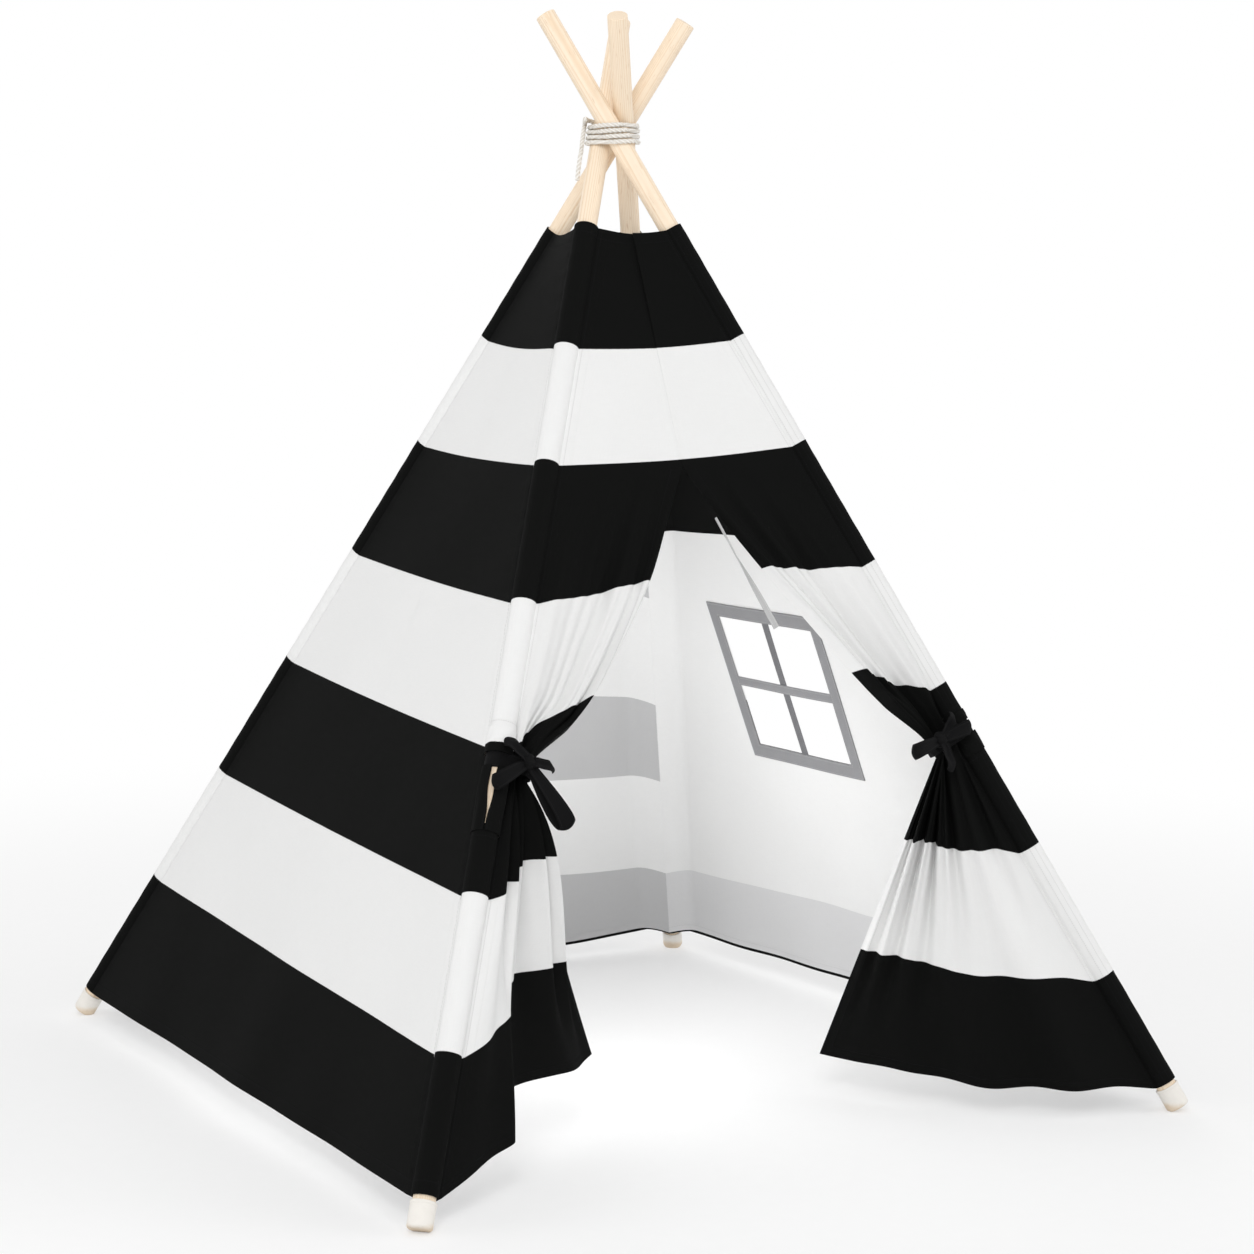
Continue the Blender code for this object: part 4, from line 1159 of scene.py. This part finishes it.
def build_window(panel, side, pole, other):
    """One half's share of the window: mitred tapes and crossing bars on the cloth's inside.

    The upright bar lies in the cloth's plane, and the level one over it."""
    half_wide, half_high = WINDOW_WIDTH / 2, WINDOW_HEIGHT / 2
    open_wide, open_high = half_wide - WINDOW_TAPE, half_high - WINDOW_TAPE

    def strip(node, start, end, finish="tape", inside=CLOTH + CLEARANCE):
        """A patch between two lists of corners: each is an outer and an inner point, x and up."""
        t = np.linspace(0, 1, 33)[:, None]
        s = np.linspace(0, 1, 9)[None]
        corners = np.array((start, end), float)
        outer, inner = (between(corners[0, i], corners[1, i], t)[:, None] for i in (0, 1))
        spots = between(outer, inner, s[..., None])
        x, up = spots[..., 0] + WINDOW_MIDDLE_REARWARD, spots[..., 1] + WINDOW_MIDDLE_UP
        level, rise = np.abs(corners[1, 0] - corners[0, 0])
        run, wide = (spots[..., i] for i in ((0, 1) if level > rise else (1, 0)))
        tape, full = np.abs(wide - wide[:, :1]), np.abs(wide[:, -1:] - wide[:, :1])
        crown = 0.0002 * np.sin(pi * s)
        sewn = layers(0, 0, np.minimum(tape, full - tape))
        points = panel.place(x, up, -inside - crown)
        grid = Grid(points, layers(tape - full / 2, run, 0), sewn).facing(-panel.normal)
        item = piece(f"{node}_{pole.name}", [grid], finish, pole.body, node, CLOTH)
        crumple(item, pole, other)

    middle, bar = -WINDOW_MIDDLE_REARWARD, WINDOW_BAR / 2
    ends = (-half_wide, middle) if side < 0 else (middle, half_wide)
    inner_ends = (-open_wide, middle) if side < 0 else (middle, open_wide)
    for node, way in (("window_tape_top", 1), ("window_tape_bottom", -1)):
        pairs = zip(ends, inner_ends)
        strip(node, *(((end, way * half_high), (inner, way * open_high)) for end, inner in pairs))
    node = "window_tape_front" if side < 0 else "window_tape_rear"
    outer, inner = side * half_wide, side * open_wide
    strip(node, *(((outer, way * half_high), (inner, way * open_high)) for way in (-1, 1)))
    strip("window_bar_level", *(((end, bar), (end, -bar)) for end in inner_ends))
    if side > 0:
        ends = (((-bar, way * open_high), (bar, way * open_high)) for way in (-1, 1))
        strip("window_bar_upright", *ends, finish="bar", inside=0.0)


class Flap:
    """One half of the door panel: sewn to its pole's sleeve, gathered into a tie, hanging below it."""

    def __init__(self, pole, other, hem_shares, edge_shares, bundle_offset, pleat_depth, late_flare, seed):
        self.pole = pole
        self.other = other
        self.seed = seed
        self.hem_shares = np.array(hem_shares)
        self.edge_shares = np.array(edge_shares)
        self.bundle_offset = bundle_offset
        self.pleat_depth = pleat_depth
        self.late_flare = late_flare
        self.across_way = unit(other.foot - pole.foot)
        self.towards = pole.towards(other)
        self.outward = pole.outward(other)
        self.frontward = pole.hinge * -np.sign(pole.hinge[1])

    def middle(self, along):
        near = self.pole.seam(self.other, along)
        far = self.other.seam(self.pole, along)
        return (near + far) / 2 - self.across_way * CLEARANCE / 2

    def flat_width(self, along):
        """Width of the cut cloth from the sleeve to the free edge."""
        return np.linalg.norm(self.middle(along) - self.pole.seam(self.other, along), axis=-1)

    def cut(self, high, low):
        """Flat size and area of the cloth between two distances along the pole."""
        ends = np.array([high, low])
        top, bottom = self.middle(ends)
        length = float(np.linalg.norm(bottom - top))
        widths = self.flat_width(ends)
        return (widths[1], length), float(widths.mean() * length)

    def neck(self, across, along):
        """The gathered cloth at the tie: across a broad wave, with narrow pleats over it."""
        near = POLE_RADIUS + NECK_PAST_POLE
        far = self.bundle_offset + BUNDLE_RADIUS - NECK_EDGE_INSET
        pleats = NECK_PLEAT * np.sin(2 * pi * 5 * across + 0.6 + self.seed) * np.sin(pi * across) ** 0.5
        wave = NECK_FOLD * np.sin(2 * pi * FOLD_COUNT * across) + pleats
        reach = np.outer(between(near, far, across), self.towards)
        return self.pole.point(along) + reach + np.outer(wave, self.outward)

    def neck_middle(self):
        return self.neck(np.array([0.5]), np.array([NECK_END_ALONG]))[0]

    def free_edge(self, share):
        shares = self.edge_shares
        along = between(SLIT_TOP_ALONG, TIE_ALONG, shares[:, 0])
        line = between(self.pole.seam(self.other, along), self.middle(along), shares[:, 1:2])
        points = line - np.outer(shares[:, 2] * HALF_FRONT, self.outward)
        end = self.neck(np.ones(1), np.array([TIE_ALONG]))
        falls = np.append(shares[:, 0], 1.0)
        even = np.interp(share, falls, np.linspace(0, 1, len(falls)))
        return spaced(np.vstack((points, end)), even)

    def fall(self, down):
        """Share of the way from the slit's top to the tie."""
        return np.clip((down - SLIT_SHARE) / (TIE_SHARE - SLIT_SHARE), 0, 1)

    def upper(self, across, down):
        """From the cover's top to the tie, across from the seam to the middle line or free edge.

        Straight rows from seam to edge, plus a swag wave and folds that follow the free edge, eased
        into the gathered neck near the tie. The free edge is rolled over outwards."""
        along = between(*UPPER_SPAN, down)
        near = self.pole.seam(self.other, along)
        fall = self.fall(down)
        closed = np.clip((SLIT_SHARE - down) / 0.03, 0, 1)
        far = np.where((down < SLIT_SHARE)[:, None], self.middle(along), self.free_edge(fall))
        far = far + np.outer(closed * MEET, self.across_way)
        swag = SWAG_FOLD * np.sin(pi * fall) ** 2 * fall + NECK_FOLD * fall**3
        wave = swag * np.sin(2 * pi * FOLD_COUNT * across)
        drape = np.sin(pi * fall) ** 0.8 * fall**0.35
        bent = 2 * pi * 3.1 * across**1.25 + 1.2 * fall + self.seed
        wave = wave + EDGE_FOLD * drape * np.sin(bent) * across
        fine = np.sin(2 * pi * 7.3 * across + 2.5 * fall)
        wave = wave + (FINE_FOLD + FINE_FOLD_GAIN * fall) * drape * fine * across
        roll = np.clip((across - (1 - ROLL_SHARE)) / ROLL_SHARE, 0, 1)
        late = np.exp(-(((fall - 0.84) / 0.12) ** 2))
        wave = wave + (ROLL_HEIGHT * drape + ROLL_GAIN * late) * np.sin(pi * roll) ** 1.2
        top = 1 - eased(np.clip(fall * 4, 0, 1))
        wide = self.flat_width(along)
        inner = np.sin(pi / 2 * across)
        wave = wave + top * slack((1 - across) * wide, along - HEM_ALONG, 2 * wide, self.seed) * inner
        dip = TOP_DIP * (along - HEM_ALONG) / (COVER_ALONG - HEM_ALONG) * inner * top
        sheet = between(near, far, across[:, None]) + np.outer(wave, self.outward) - np.outer(dip, UP)
        start = GATHER_START_SHARE + 0.13 * across**3
        end = GATHER_END_SHARE + 0.045 * across**3
        gather = eased(np.clip((fall - start) / (end - start), 0, 1))[:, None]
        return between(sheet, self.neck(across, along), gather)

    def upper_stripes(self, across, down):
        """Stripe count: level above the slit, then falling back along the free edge, in steps."""
        along = between(*UPPER_SPAN, down)
        near = self.pole.stripes(along)
        fine = np.linspace(0, 1, 200)
        steps = run_along(self.free_edge(fine))
        fall = self.fall(down)
        run = np.interp(fall, fine, steps / steps[-1])
        at_slit = (self.pole.stripes(SLIT_TOP_ALONG) + self.other.stripes(SLIT_TOP_ALONG)) / 2
        edge = between(at_slit, STRIPE_AT_TIE, run) - np.clip(down - TIE_SHARE, 0, None) * 3
        edge = np.where(down < SLIT_SHARE, (near + self.other.stripes(along)) / 2, edge)
        bend = 1 + 0.3 * eased(np.clip(fall * 1.6, 0, 1))
        pleat_turns = 2 * pi * PLEAT_STEPS
        stepped = across - 0.9 * fall**2 * np.sin(pleat_turns * across) / pleat_turns
        return between(near, edge, stepped**bend)

    def hem(self, across):
        inward, front, rise = self.hem_shares.T * HALF_FRONT
        start = self.pole.point(HEM_ALONG)
        points = start + np.outer(inward, self.pole.inward) + np.outer(front, self.frontward)
        first = start + self.towards * SEAM_RADIUS
        return spaced(np.vstack((first, points + np.outer(rise, UP))), across)

    def skirt(self, across, down):
        """A fan from the neck to the hem, its pleats deepest a third of the way down.

        Straight lines from neck to hem, plus sines across whose height rises and falls with down. The
        late flare holds the fan back in its upper part."""
        top = self.neck(across, np.full(across.shape, SKIRT_SPAN[0]))
        spread = self.hem(across) - top
        swell = 6.75 * down * (1 - down) ** 2
        crowd = 1 - np.log1p(6 * (1 - across)) / log(7)
        depth = 0.45 + 0.55 * crowd
        deep = self.pleat_depth * swell * depth * np.sin(2 * pi * 5.2 * crowd + self.seed + 0.8 * down)
        deep = deep + 0.0060 * swell * np.sin(2 * pi * 2.0 * across + 2.0)
        fine = 0.0080 * swell * (1 - down) * np.sin(2 * pi * 11.3 * crowd + 2 * self.seed)
        soft = 0.0110 * eased(down) * np.sin(2 * pi * 3.4 * across + 1.7 + self.seed) * np.sin(pi * across)
        rim = np.clip(across / 0.10, 0, 1) * eased(np.clip((1 - across) / 0.07, 0, 1))
        late = self.late_flare * across * np.clip(down - np.abs(down) ** 1.7, 0, None)
        aside = spread - np.outer(spread @ self.pole.along, self.pole.along)
        sheet = top + spread * down[:, None] - aside * late[:, None]
        return sheet + np.outer((deep + fine + soft) * rim, self.frontward)

    def skirt_stripes(self, across, down):
        near = self.pole.stripes(between(*SKIRT_SPAN, down))
        return between(near, np.interp(down, FREE_EDGE_FALL, FREE_EDGE_STRIPES), across)

    def cloth(self, place, stripes, span, downs, columns):
        """Rows of the flap's cloth, its seam drawn into the sleeve except beside the tie.

        Gives the points, the stripe count, the distances from the seam and from the free edge, and
        what the finishes read as cloth."""
        pole = self.pole
        down, across = np.meshgrid(downs, np.linspace(0, 1, columns), indexing="ij")
        points = place(across.ravel(), down.ravel()).reshape(*across.shape, 3)
        from_tie = np.abs((points[:, 0] - pole.point(TIE_ALONG)) @ pole.along)
        in_sleeve = eased(np.clip((from_tie - SEAM_FREE) / SEAM_DRAWN_IN, 0, 1))
        depth = np.linalg.norm(pole.offset(points[:, 0]), axis=1) - (SEAM_RADIUS - TUCK)
        points[:, 0] = tucked(points[:, 0], pole, (depth * in_sleeve)[:, None])
        stripe = stripes(across.ravel(), down.ravel()).reshape(across.shape)
        wide = self.flat_width(between(*span, down))
        read = layers(across * wide, HEM_ALONG + stripe * BAND_ALONG, 0)
        return points, stripe, across * wide, (1 - across) * wide, read


def build_flap(side, flap):
    """The half panel above the tie, then the collar and the skirt below it."""
    pole, node, body = flap.pole, f"{side}_door_flap", f"{side}_flap"
    downs = np.concatenate((np.linspace(0, SLIT_SHARE, 50)[:-1], np.linspace(SLIT_SHARE, 1, 130)))
    points, stripe, seam, free, cloth = flap.cloth(flap.upper, flap.upper_stripes, UPPER_SPAN, downs, 97)
    opened = (downs > SLIT_SHARE)[:, None]
    from_top = (COVER_ALONG - between(*UPPER_SPAN, downs))[:, None]
    hem = np.minimum(from_top, np.where(opened, free, 0.30))
    sewn = layers(stripe, np.where(opened, seam, np.minimum(seam, free + 0.010)), hem)
    grid = Grid(points, cloth, sewn).facing(flap.outward)
    name = f"front_{side}_upper"
    item = piece(name, [grid], "striped", pole.body, f"front_{side}_panel", CLOTH)
    flat, area = flap.cut(*UPPER_SPAN)
    crumple(item, pole, flap.other)

    neck = flap.neck_middle()
    parts = (
        ("collar", np.linspace(-0.007, COLLAR_SHARE, 25), None),
        ("skirt", np.linspace(COLLAR_SHARE, 1, 100), body),
    )
    for ending, downs, rides in parts:
        points, stripe, seam, free, cloth = flap.cloth(flap.skirt, flap.skirt_stripes, SKIRT_SPAN, downs, 145)
        sewn = layers(stripe, seam, np.minimum(free, stripe * BAND_ALONG))
        grid = Grid(points, cloth, sewn).facing(flap.frontward)
        item = piece(f"{side}_flap_{ending}", [grid], "striped", rides, node, CLOTH)
        if ending == "collar":
            bent = flap.skirt(np.array([0.5]), np.array([COLLAR_SHARE * COLLAR_BENT]))[0]
            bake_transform(item)
    flat, area = flap.cut(*between(*SKIRT_SPAN, np.array([COLLAR_SHARE, 1.0])))
    line = unit(pole.seam(flap.other, HEM_ALONG) - neck)
    way = unit(pole.inward - line * (pole.inward @ line))
    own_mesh(item)


def build_band(side, flap):
    """The tie's strap: a belt round the pole and the gathered cloth, two arcs and their tangents."""
    pole_round = POLE_RADIUS + CLEARANCE + CLOTH / 2
    bundle_round = BUNDLE_RADIUS + CLEARANCE + CLOTH / 2
    meet = acos((pole_round - bundle_round) / flap.bundle_offset)
    on_pole = np.linspace(meet, 2 * pi - meet, 56)
    on_cloth = np.linspace(-meet, meet, 48)
    ends = []
    for angles, radius, shift in ((on_pole, pole_round, 0.0), (on_cloth, bundle_round, flap.bundle_offset)):
        radii = radius + 0.0006 * np.sin(5 * angles + 1) ** 2 * (shift > 0)
        ends.append(np.stack((shift + radii * np.cos(angles), radii * np.sin(angles)), axis=1))
    straight = [between(ends[i][-1], ends[1 - i][0], np.linspace(0, 1, 8)[1:-1, None]) for i in (0, 1)]
    loop = np.concatenate((ends[0], straight[0], ends[1], straight[1]))
    across = np.linspace(-0.5, 0.5, 15)
    cupped = 0.0005 * (1 - (2 * across) ** 2)
    step = run_along(np.vstack((loop, loop[:1])))
    spots = loop + cupped[:, None, None] * units(loop - (flap.bundle_offset / 2, 0))
    along = TIE_ALONG + TIE_WIDTH * across
    points = flap.pole.point(along)[:, None] + spots[..., :1] * flap.towards + spots[..., 1:] * flap.outward
    wide = across[:, None] * TIE_WIDTH + 0 * step
    grid = Grid(points, layers(wide, step, 0), layers(0, 0, TIE_WIDTH / 2 - np.abs(wide)), wrap=True)
    name, node = f"{side}_tie_strap", f"{side}_tie_band"
    item = piece(name, [grid.around(flap.pole)], "ribbon", flap.pole.body, node, CLOTH)


def build_bow(side, flap, loops, tails, shift):
    """A bow of one ribbon: loops that leave the knot and come back, tails, and a folded knot.

    Loops and tails are given as the way they point in degrees, their length and their twist."""
    frame_out = flap.outward
    frame_right = unit(np.cross(UP, frame_out))
    frame_up = np.cross(frame_out, frame_right)
    frame_up = frame_up * np.sign(frame_up[2])
    lift = BUNDLE_RADIUS + 2 * CLEARANCE + CLOTH + KNOT_DEPTH / 2
    centre = flap.pole.point(TIE_ALONG) + flap.towards * flap.bundle_offset + frame_out * lift
    centre = centre + flap.towards * shift[0] + flap.pole.along * shift[1]
    grids = []
    parts = [(True, *loop) for loop in loops] + [(False, *tail) for tail in tails]
    for looped, angle, length, twist in parts:
        way = swung(radians(angle), frame_right, frame_up)
        side_way = np.cross(frame_out, way)
        t = np.linspace(0, 1, 61 if looped else 31)
        s = np.linspace(-0.5, 0.5, 9)
        if looped:
            run = length * np.sin(pi * t)
            off = LOOP_OPENING * np.sin(2 * pi * t) + LOOP_BULGE * np.sin(pi * t) ** 2
            wide = between(RIBBON_AT_KNOT, RIBBON_WIDTH, np.sin(pi * t) ** 0.7)
            lean, end_share, open_share = np.sin(pi * t), np.sin(pi * t) ** 4, 2 * np.abs(t - 0.5)
        else:
            run = length * t
            off = TAIL_LIFT * np.sin(pi * t) + 0.002 * np.sin(3 * pi * t)
            wide = between(RIBBON_AT_KNOT, RIBBON_AT_END, t**0.7)
            lean, end_share, open_share = np.sin(pi / 2 * t), t**4, 1.0
        cross_way = swung(radians(twist) * lean, side_way, frame_out)
        line = centre + np.outer(run, way) + np.outer(off, frame_out)
        gutter = np.sin(pi * np.clip(t, 0.02, 0.98)) * open_share
        gutter = np.outer(gutter, RIBBON_GUTTER * np.cos(2 * pi * s))
        gather = RIBBON_GATHER * np.exp(-run / RIBBON_GATHER_REACH)
        gather = np.outer(gather, np.sin(2 * pi * 1.5 * s))
        puff = (gutter + gather)[..., None] * np.cross(cross_way, way)[:, None]
        across = np.outer(wide, s)
        points = line[:, None] + across[..., None] * cross_way[:, None] + puff
        points = points - np.outer(end_share, ROUND_END * (2 * s) ** 2)[..., None] * way
        steps = run_along(line)
        sewn = layers(0, 0, wide[:, None] / 2 - np.abs(across))
        grids.append(Grid(points, layers(across, steps[:, None], 0), sewn))
    name, node, body = f"{side}_bow_ribbon", f"{side}_tie_bow", flap.pole.body
    item = piece(name, grids, "ribbon", body, node, RIBBON_THICK, weld=1e-7)

    turns, rises = np.linspace(0, 2 * pi, 65), np.linspace(-pi / 2, pi / 2, 41)
    turn, rise = np.meshgrid(turns, rises, indexing="xy")
    crease = 1 - 0.10 * np.abs(np.sin(2.5 * rise + 0.8 * np.cos(turn) + 0.5)) ** 3
    crease = crease - 0.05 * np.abs(np.sin(5 * rise + 1.4 * np.sin(turn))) ** 4
    slim = crease * np.cos(rise) ** 0.75
    right = slim * np.cos(turn) * (1 + 0.10 * np.sin(rise) ** 2)
    out, tall = slim * np.sin(turn), np.sin(rise)
    points = centre + right[..., None] * frame_right * KNOT_WIDTH / 2
    points = points + out[..., None] * frame_out * KNOT_DEPTH / 2
    points = points + tall[..., None] * frame_up * KNOT_HEIGHT / 2
    cloth = layers(tall * KNOT_HEIGHT / 2, turn * KNOT_WIDTH / 2, 0)
    grid = Grid(points[:, :-1], cloth, layers(0, 0, 0 * tall + 0.01), wrap=True)
    grid.facing(grid.middles() - centre)
    piece(f"{side}_bow_knot", [grid], "ribbon", body, node)


def hull_point(poles, angle, height, extra):
    """A point of the rope's centre line round the poles, by the way it faces and its height."""
    face = np.array((cos(angle), sin(angle), 0.0))
    best = None
    for pole in poles.values():
        middle = pole.crossing + pole.inward * tan(pole.lean) * (height - CROSSING_HEIGHT)
        long_radius = POLE_RADIUS / cos(pole.lean)
        by_lean = long_radius**2 * (face @ pole.inward) * pole.inward
        by_side = POLE_RADIUS**2 * (face @ pole.hinge) * pole.hinge
        edge = (by_lean + by_side) / np.sqrt(face @ (by_lean + by_side))
        stand_off = (ROPE_RADIUS + ROPE_EASE) / np.sqrt(1 - (face @ pole.along) ** 2)
        point = middle + edge + face * (stand_off + extra)
        if best is None or point @ face > best @ face:
            best = point
    best[2] = height
    return best


def rope_route(poles):
    """Four climbing turns, then over the top turn and straight down outside them."""
    route = []
    low = CROSSING_HEIGHT - ROPE_BELOW_CROSSING - ROPE_PITCH * ROPE_TURNS / 2
    high = low + ROPE_PITCH * ROPE_TURNS
    for step in range(POINTS_PER_TURN * ROPE_TURNS + 1):
        turns = step / POINTS_PER_TURN
        route.append(hull_point(poles, ROPE_START_ANGLE + 2 * pi * turns, low + ROPE_PITCH * turns, 0.0))
    for share in OVER_STEP_SHARES:
        height = high + ROPE_OVER_RISE * sin(pi / 2 * share)
        angle = ROPE_START_ANGLE + OVER_ANGLE * share
        route.append(hull_point(poles, angle, height, ROPE_PITCH * share**2))
    for share in DOWN_STEP_SHARES:
        height = between(high + ROPE_OVER_RISE, low - ROPE_DIAMETER, share)
        angle = ROPE_START_ANGLE + OVER_ANGLE + DOWN_ANGLE * share
        route.append(hull_point(poles, angle, height, ROPE_STRAND_OUT))
    return np.array(route)


def twisted(route, centre):
    """Three strands laid round a path: a three-lobed outline that turns as it goes along.

    A strand's circle is seen from the rope's axis: its near root plus the square root of what its
    radius leaves. The ends are drawn in to a point. Gives the grid and the path's length."""
    steps = run_along(route)
    way = units(np.gradient(route, axis=0))
    out = units((route - centre) * (1, 1, 0))
    out = units(out - (out * way).sum(axis=1, keepdims=True) * way)
    side = np.cross(way, out)
    turn = np.linspace(0, 2 * pi, ROPE_SIDES, endpoint=False)
    angle = turn[None] - 2 * pi * steps[:, None] / ROPE_LAY
    near = (angle + pi / 3) % (2 * pi / 3) - pi / 3
    arm, strand = STRAND_ARM * ROPE_RADIUS, (1 - STRAND_ARM) * ROPE_RADIUS
    radius = arm * np.cos(near) + np.sqrt(np.maximum(strand**2 - (arm * np.sin(near)) ** 2, 0))
    radius = np.maximum(radius, 0.80 * ROPE_RADIUS)
    ends = np.clip(np.minimum(steps, steps[-1] - steps) / 0.0012, 0, 1)
    radius = radius * np.sqrt(np.clip(1 - (1 - ends) ** 2, 0, 1))[:, None]
    spots = route[:, None] + (radius * np.cos(turn))[..., None] * out[:, None]
    spots = spots + (radius * np.sin(turn))[..., None] * side[:, None]
    # How deep a point lies in a groove between strands; the rope's finish darkens it there as painted shade.
    depth = 1 - closed_up(radius) / ROPE_RADIUS
    cloth = layers(closed_up(near) * ROPE_RADIUS, steps[:, None], np.clip(depth * 3, 0, 1))
    grid = Grid(spots, cloth, wrap=True)
    nearest = np.repeat((route[:-1] + route[1:]) / 2, ROPE_SIDES, axis=0)
    return grid.facing(grid.middles() - nearest), float(steps[-1])


def build_lashing(poles):
    """The rope's turns, and its free end, which leaves the last turn and hangs."""
    route = rope_route(poles)
    centre = np.mean([pole.crossing for pole in poles.values()], axis=0)
    fine = spaced(route, np.linspace(0, 1, 8 * (len(route) - 1) + 1))
    turns = [twisted(fine, centre)[0]]
    piece("lashing_turns", turns, "rope", "cover", "lashing_rope", sharp=radians(80))
    way = unit(route[-1] - route[-2])
    away = unit((route[-1] - poles["front_left"].crossing) * (1, 1, 0))
    start = route[-1] + way * CLEARANCE
    on, down, out = np.array(TAIL_SHARES).T * ROPE_TAIL
    points = start + np.outer(on, way) - np.outer(down, UP) + np.outer(out, away)
    path = spaced(points, np.linspace(0, 1, 65))
    grid, length = twisted(path, centre)
    tail = piece("lashing_end", [grid], "rope", "cover", "lashing_tail", sharp=radians(80))


def build_stage():
    """A pale floor that keeps the shadow near the teepee and fades into the white beyond."""
    mesh = bpy.data.meshes.new("floor")
    corners = [(x * FLOOR_REACH, y * FLOOR_REACH, 0) for x, y in ((-1, -1), (1, -1), (1, 1), (-1, 1))]
    mesh.from_pydata(corners, [], [(0, 1, 2, 3)])
    floor = bpy.data.objects.new("floor", mesh)
    bpy.context.scene.collection.objects.link(floor)
    finish = Finish("studio_floor", Roughness=0.9, Specular_IOR_Level=0.1)
    place = finish.place()
    x, y, _ = finish.parts(place)
    far = finish.ramp((x * x + y * y).root(), *FLOOR_FADE)
    grain = finish.noise(place, 40.0)
    finish.set("Base Color", finish.mix(grain, (0.90, 0.90, 0.90), (0.92, 0.92, 0.92)))
    white = finish.node("ShaderNodeEmission", None, {"Color": (1, 1, 1, 1), "Strength": 1.0})
    shader = Socket(finish, finish.shader.outputs[0])
    share = finish.seen() * (far * (1 - FLOOR_WHITE) + FLOOR_WHITE)
    mixed = finish.node("ShaderNodeMixShader", None, {0: share, 1: shader, 2: white})
    output = next(node for node in finish.tree.nodes if node.type == "OUTPUT_MATERIAL")
    finish.tree.links.new(mixed.socket, output.inputs["Surface"])
    mesh.materials.append(finish.material)


def build_light():
    """A white world, dimmer as a light than as it is seen, four lamps and a glow inside."""
    world = bpy.data.worlds.new("studio")
    world.use_nodes = True
    bpy.context.scene.world = world
    nodes = Nodes(world.node_tree)
    background = world.node_tree.nodes["Background"]
    background.inputs["Color"].default_value = (1, 1, 1, 1)
    values = {"Value": nodes.seen(), "To Min": WORLD_LIGHT, "To Max": 1.0}
    level = nodes.node("ShaderNodeMapRange", None, values)
    world.node_tree.links.new(level.socket, background.inputs["Strength"])

    for name, spot, size, power in LAMPS:
        lamp = bpy.data.lights.new(name, "AREA")
        lamp.shape = "DISK"
        lamp.size = size
        lamp.energy = power
        item = bpy.data.objects.new(name, lamp)
        item.location = spot
        item.rotation_euler = (Vector(LAMPS_AIM) - Vector(spot)).to_track_quat("-Z", "Y").to_euler()
        bpy.context.scene.collection.objects.link(item)
    glow = bpy.data.lights.new("inside", "POINT")
    glow.energy = GLOW_POWER
    glow.shadow_soft_size = GLOW_RADIUS
    item = bpy.data.objects.new("inside", glow)
    item.location = GLOW_SPOT
    bpy.context.scene.collection.objects.link(item)


def build_camera():
    forward = -np.append(cos(CAMERA_ELEVATION) * np.array((sin(CAMERA_AZIMUTH), -cos(CAMERA_AZIMUTH))), 0.0)
    forward[2] = -sin(CAMERA_ELEVATION)
    right = unit(np.cross(forward, UP))
    up = np.cross(right, forward)
    lens = bpy.data.cameras.new("camera")
    lens.sensor_width = SENSOR
    lens.lens = CAMERA_LENS * SENSOR
    camera = bpy.data.objects.new("camera", lens)
    axes = np.eye(4)
    axes[:3, 0] = cos(CAMERA_ROLL) * right + sin(CAMERA_ROLL) * up
    axes[:3, 1] = cos(CAMERA_ROLL) * up - sin(CAMERA_ROLL) * right
    axes[:3, 2] = -forward
    axes[:3, 3] = CAMERA_SPOT
    camera.matrix_world = Matrix(axes.tolist())
    bpy.context.scene.collection.objects.link(camera)
    bpy.context.scene.camera = camera


def main():
    bpy.context.scene.view_settings.view_transform = "Standard"
    build_camera()
    poles = make_poles()
    front_left, front_right, rear_right, rear_left = poles.values()
    build_lashing(poles)
    build_poles(poles)
    build_sleeves(poles)
    panels = {
        "left_panel": Panel(rear_left, front_left, 0.7),
        "rear_panel": Panel(rear_right, rear_left, 2.1, REAR_SAG),
        "right_panel": Panel(front_right, rear_right, 4.4),
    }
    build_plain_panel("left_panel", panels["left_panel"])
    build_plain_panel("rear_panel", panels["rear_panel"])
    build_right_panel(panels["right_panel"])
    left = (LEFT_HEM_SHARES, LEFT_EDGE_SHARES, LEFT_BUNDLE_OFFSET, 0.0225, 0.45, 0.4)
    right = (RIGHT_HEM_SHARES, RIGHT_EDGE_SHARES, RIGHT_BUNDLE_OFFSET, 0.0175, 0.0, 1.9)
    left = Flap(front_left, front_right, *left)
    right = Flap(front_right, front_left, *right)
    for side, flap in (("left", left), ("right", right)):
        build_band(side, flap)
        build_flap(side, flap)
        build_facings(side, flap)
    build_inner_tape(right)
    for name, number in (("rear_panel", 0), ("right_panel", 1), ("rear_panel", 1), ("left_panel", 0)):
        build_corner(name, panels[name], number)
    left_loops = ((-69, 0.105, 35), (203, 0.070, -25))
    left_tails = ((130, 0.046, 20), (-18, 0.040, -30))
    right_loops = ((197, 0.062, -25), (16, 0.056, 30))
    right_tails = ((48, 0.050, 25), (-80, 0.050, -20))
    build_bow("left", left, left_loops, left_tails, (0.0, 0.004))
    build_bow("right", right, right_loops, right_tails, (0.010, 0.006))
    build_stage()
    build_light()


main()
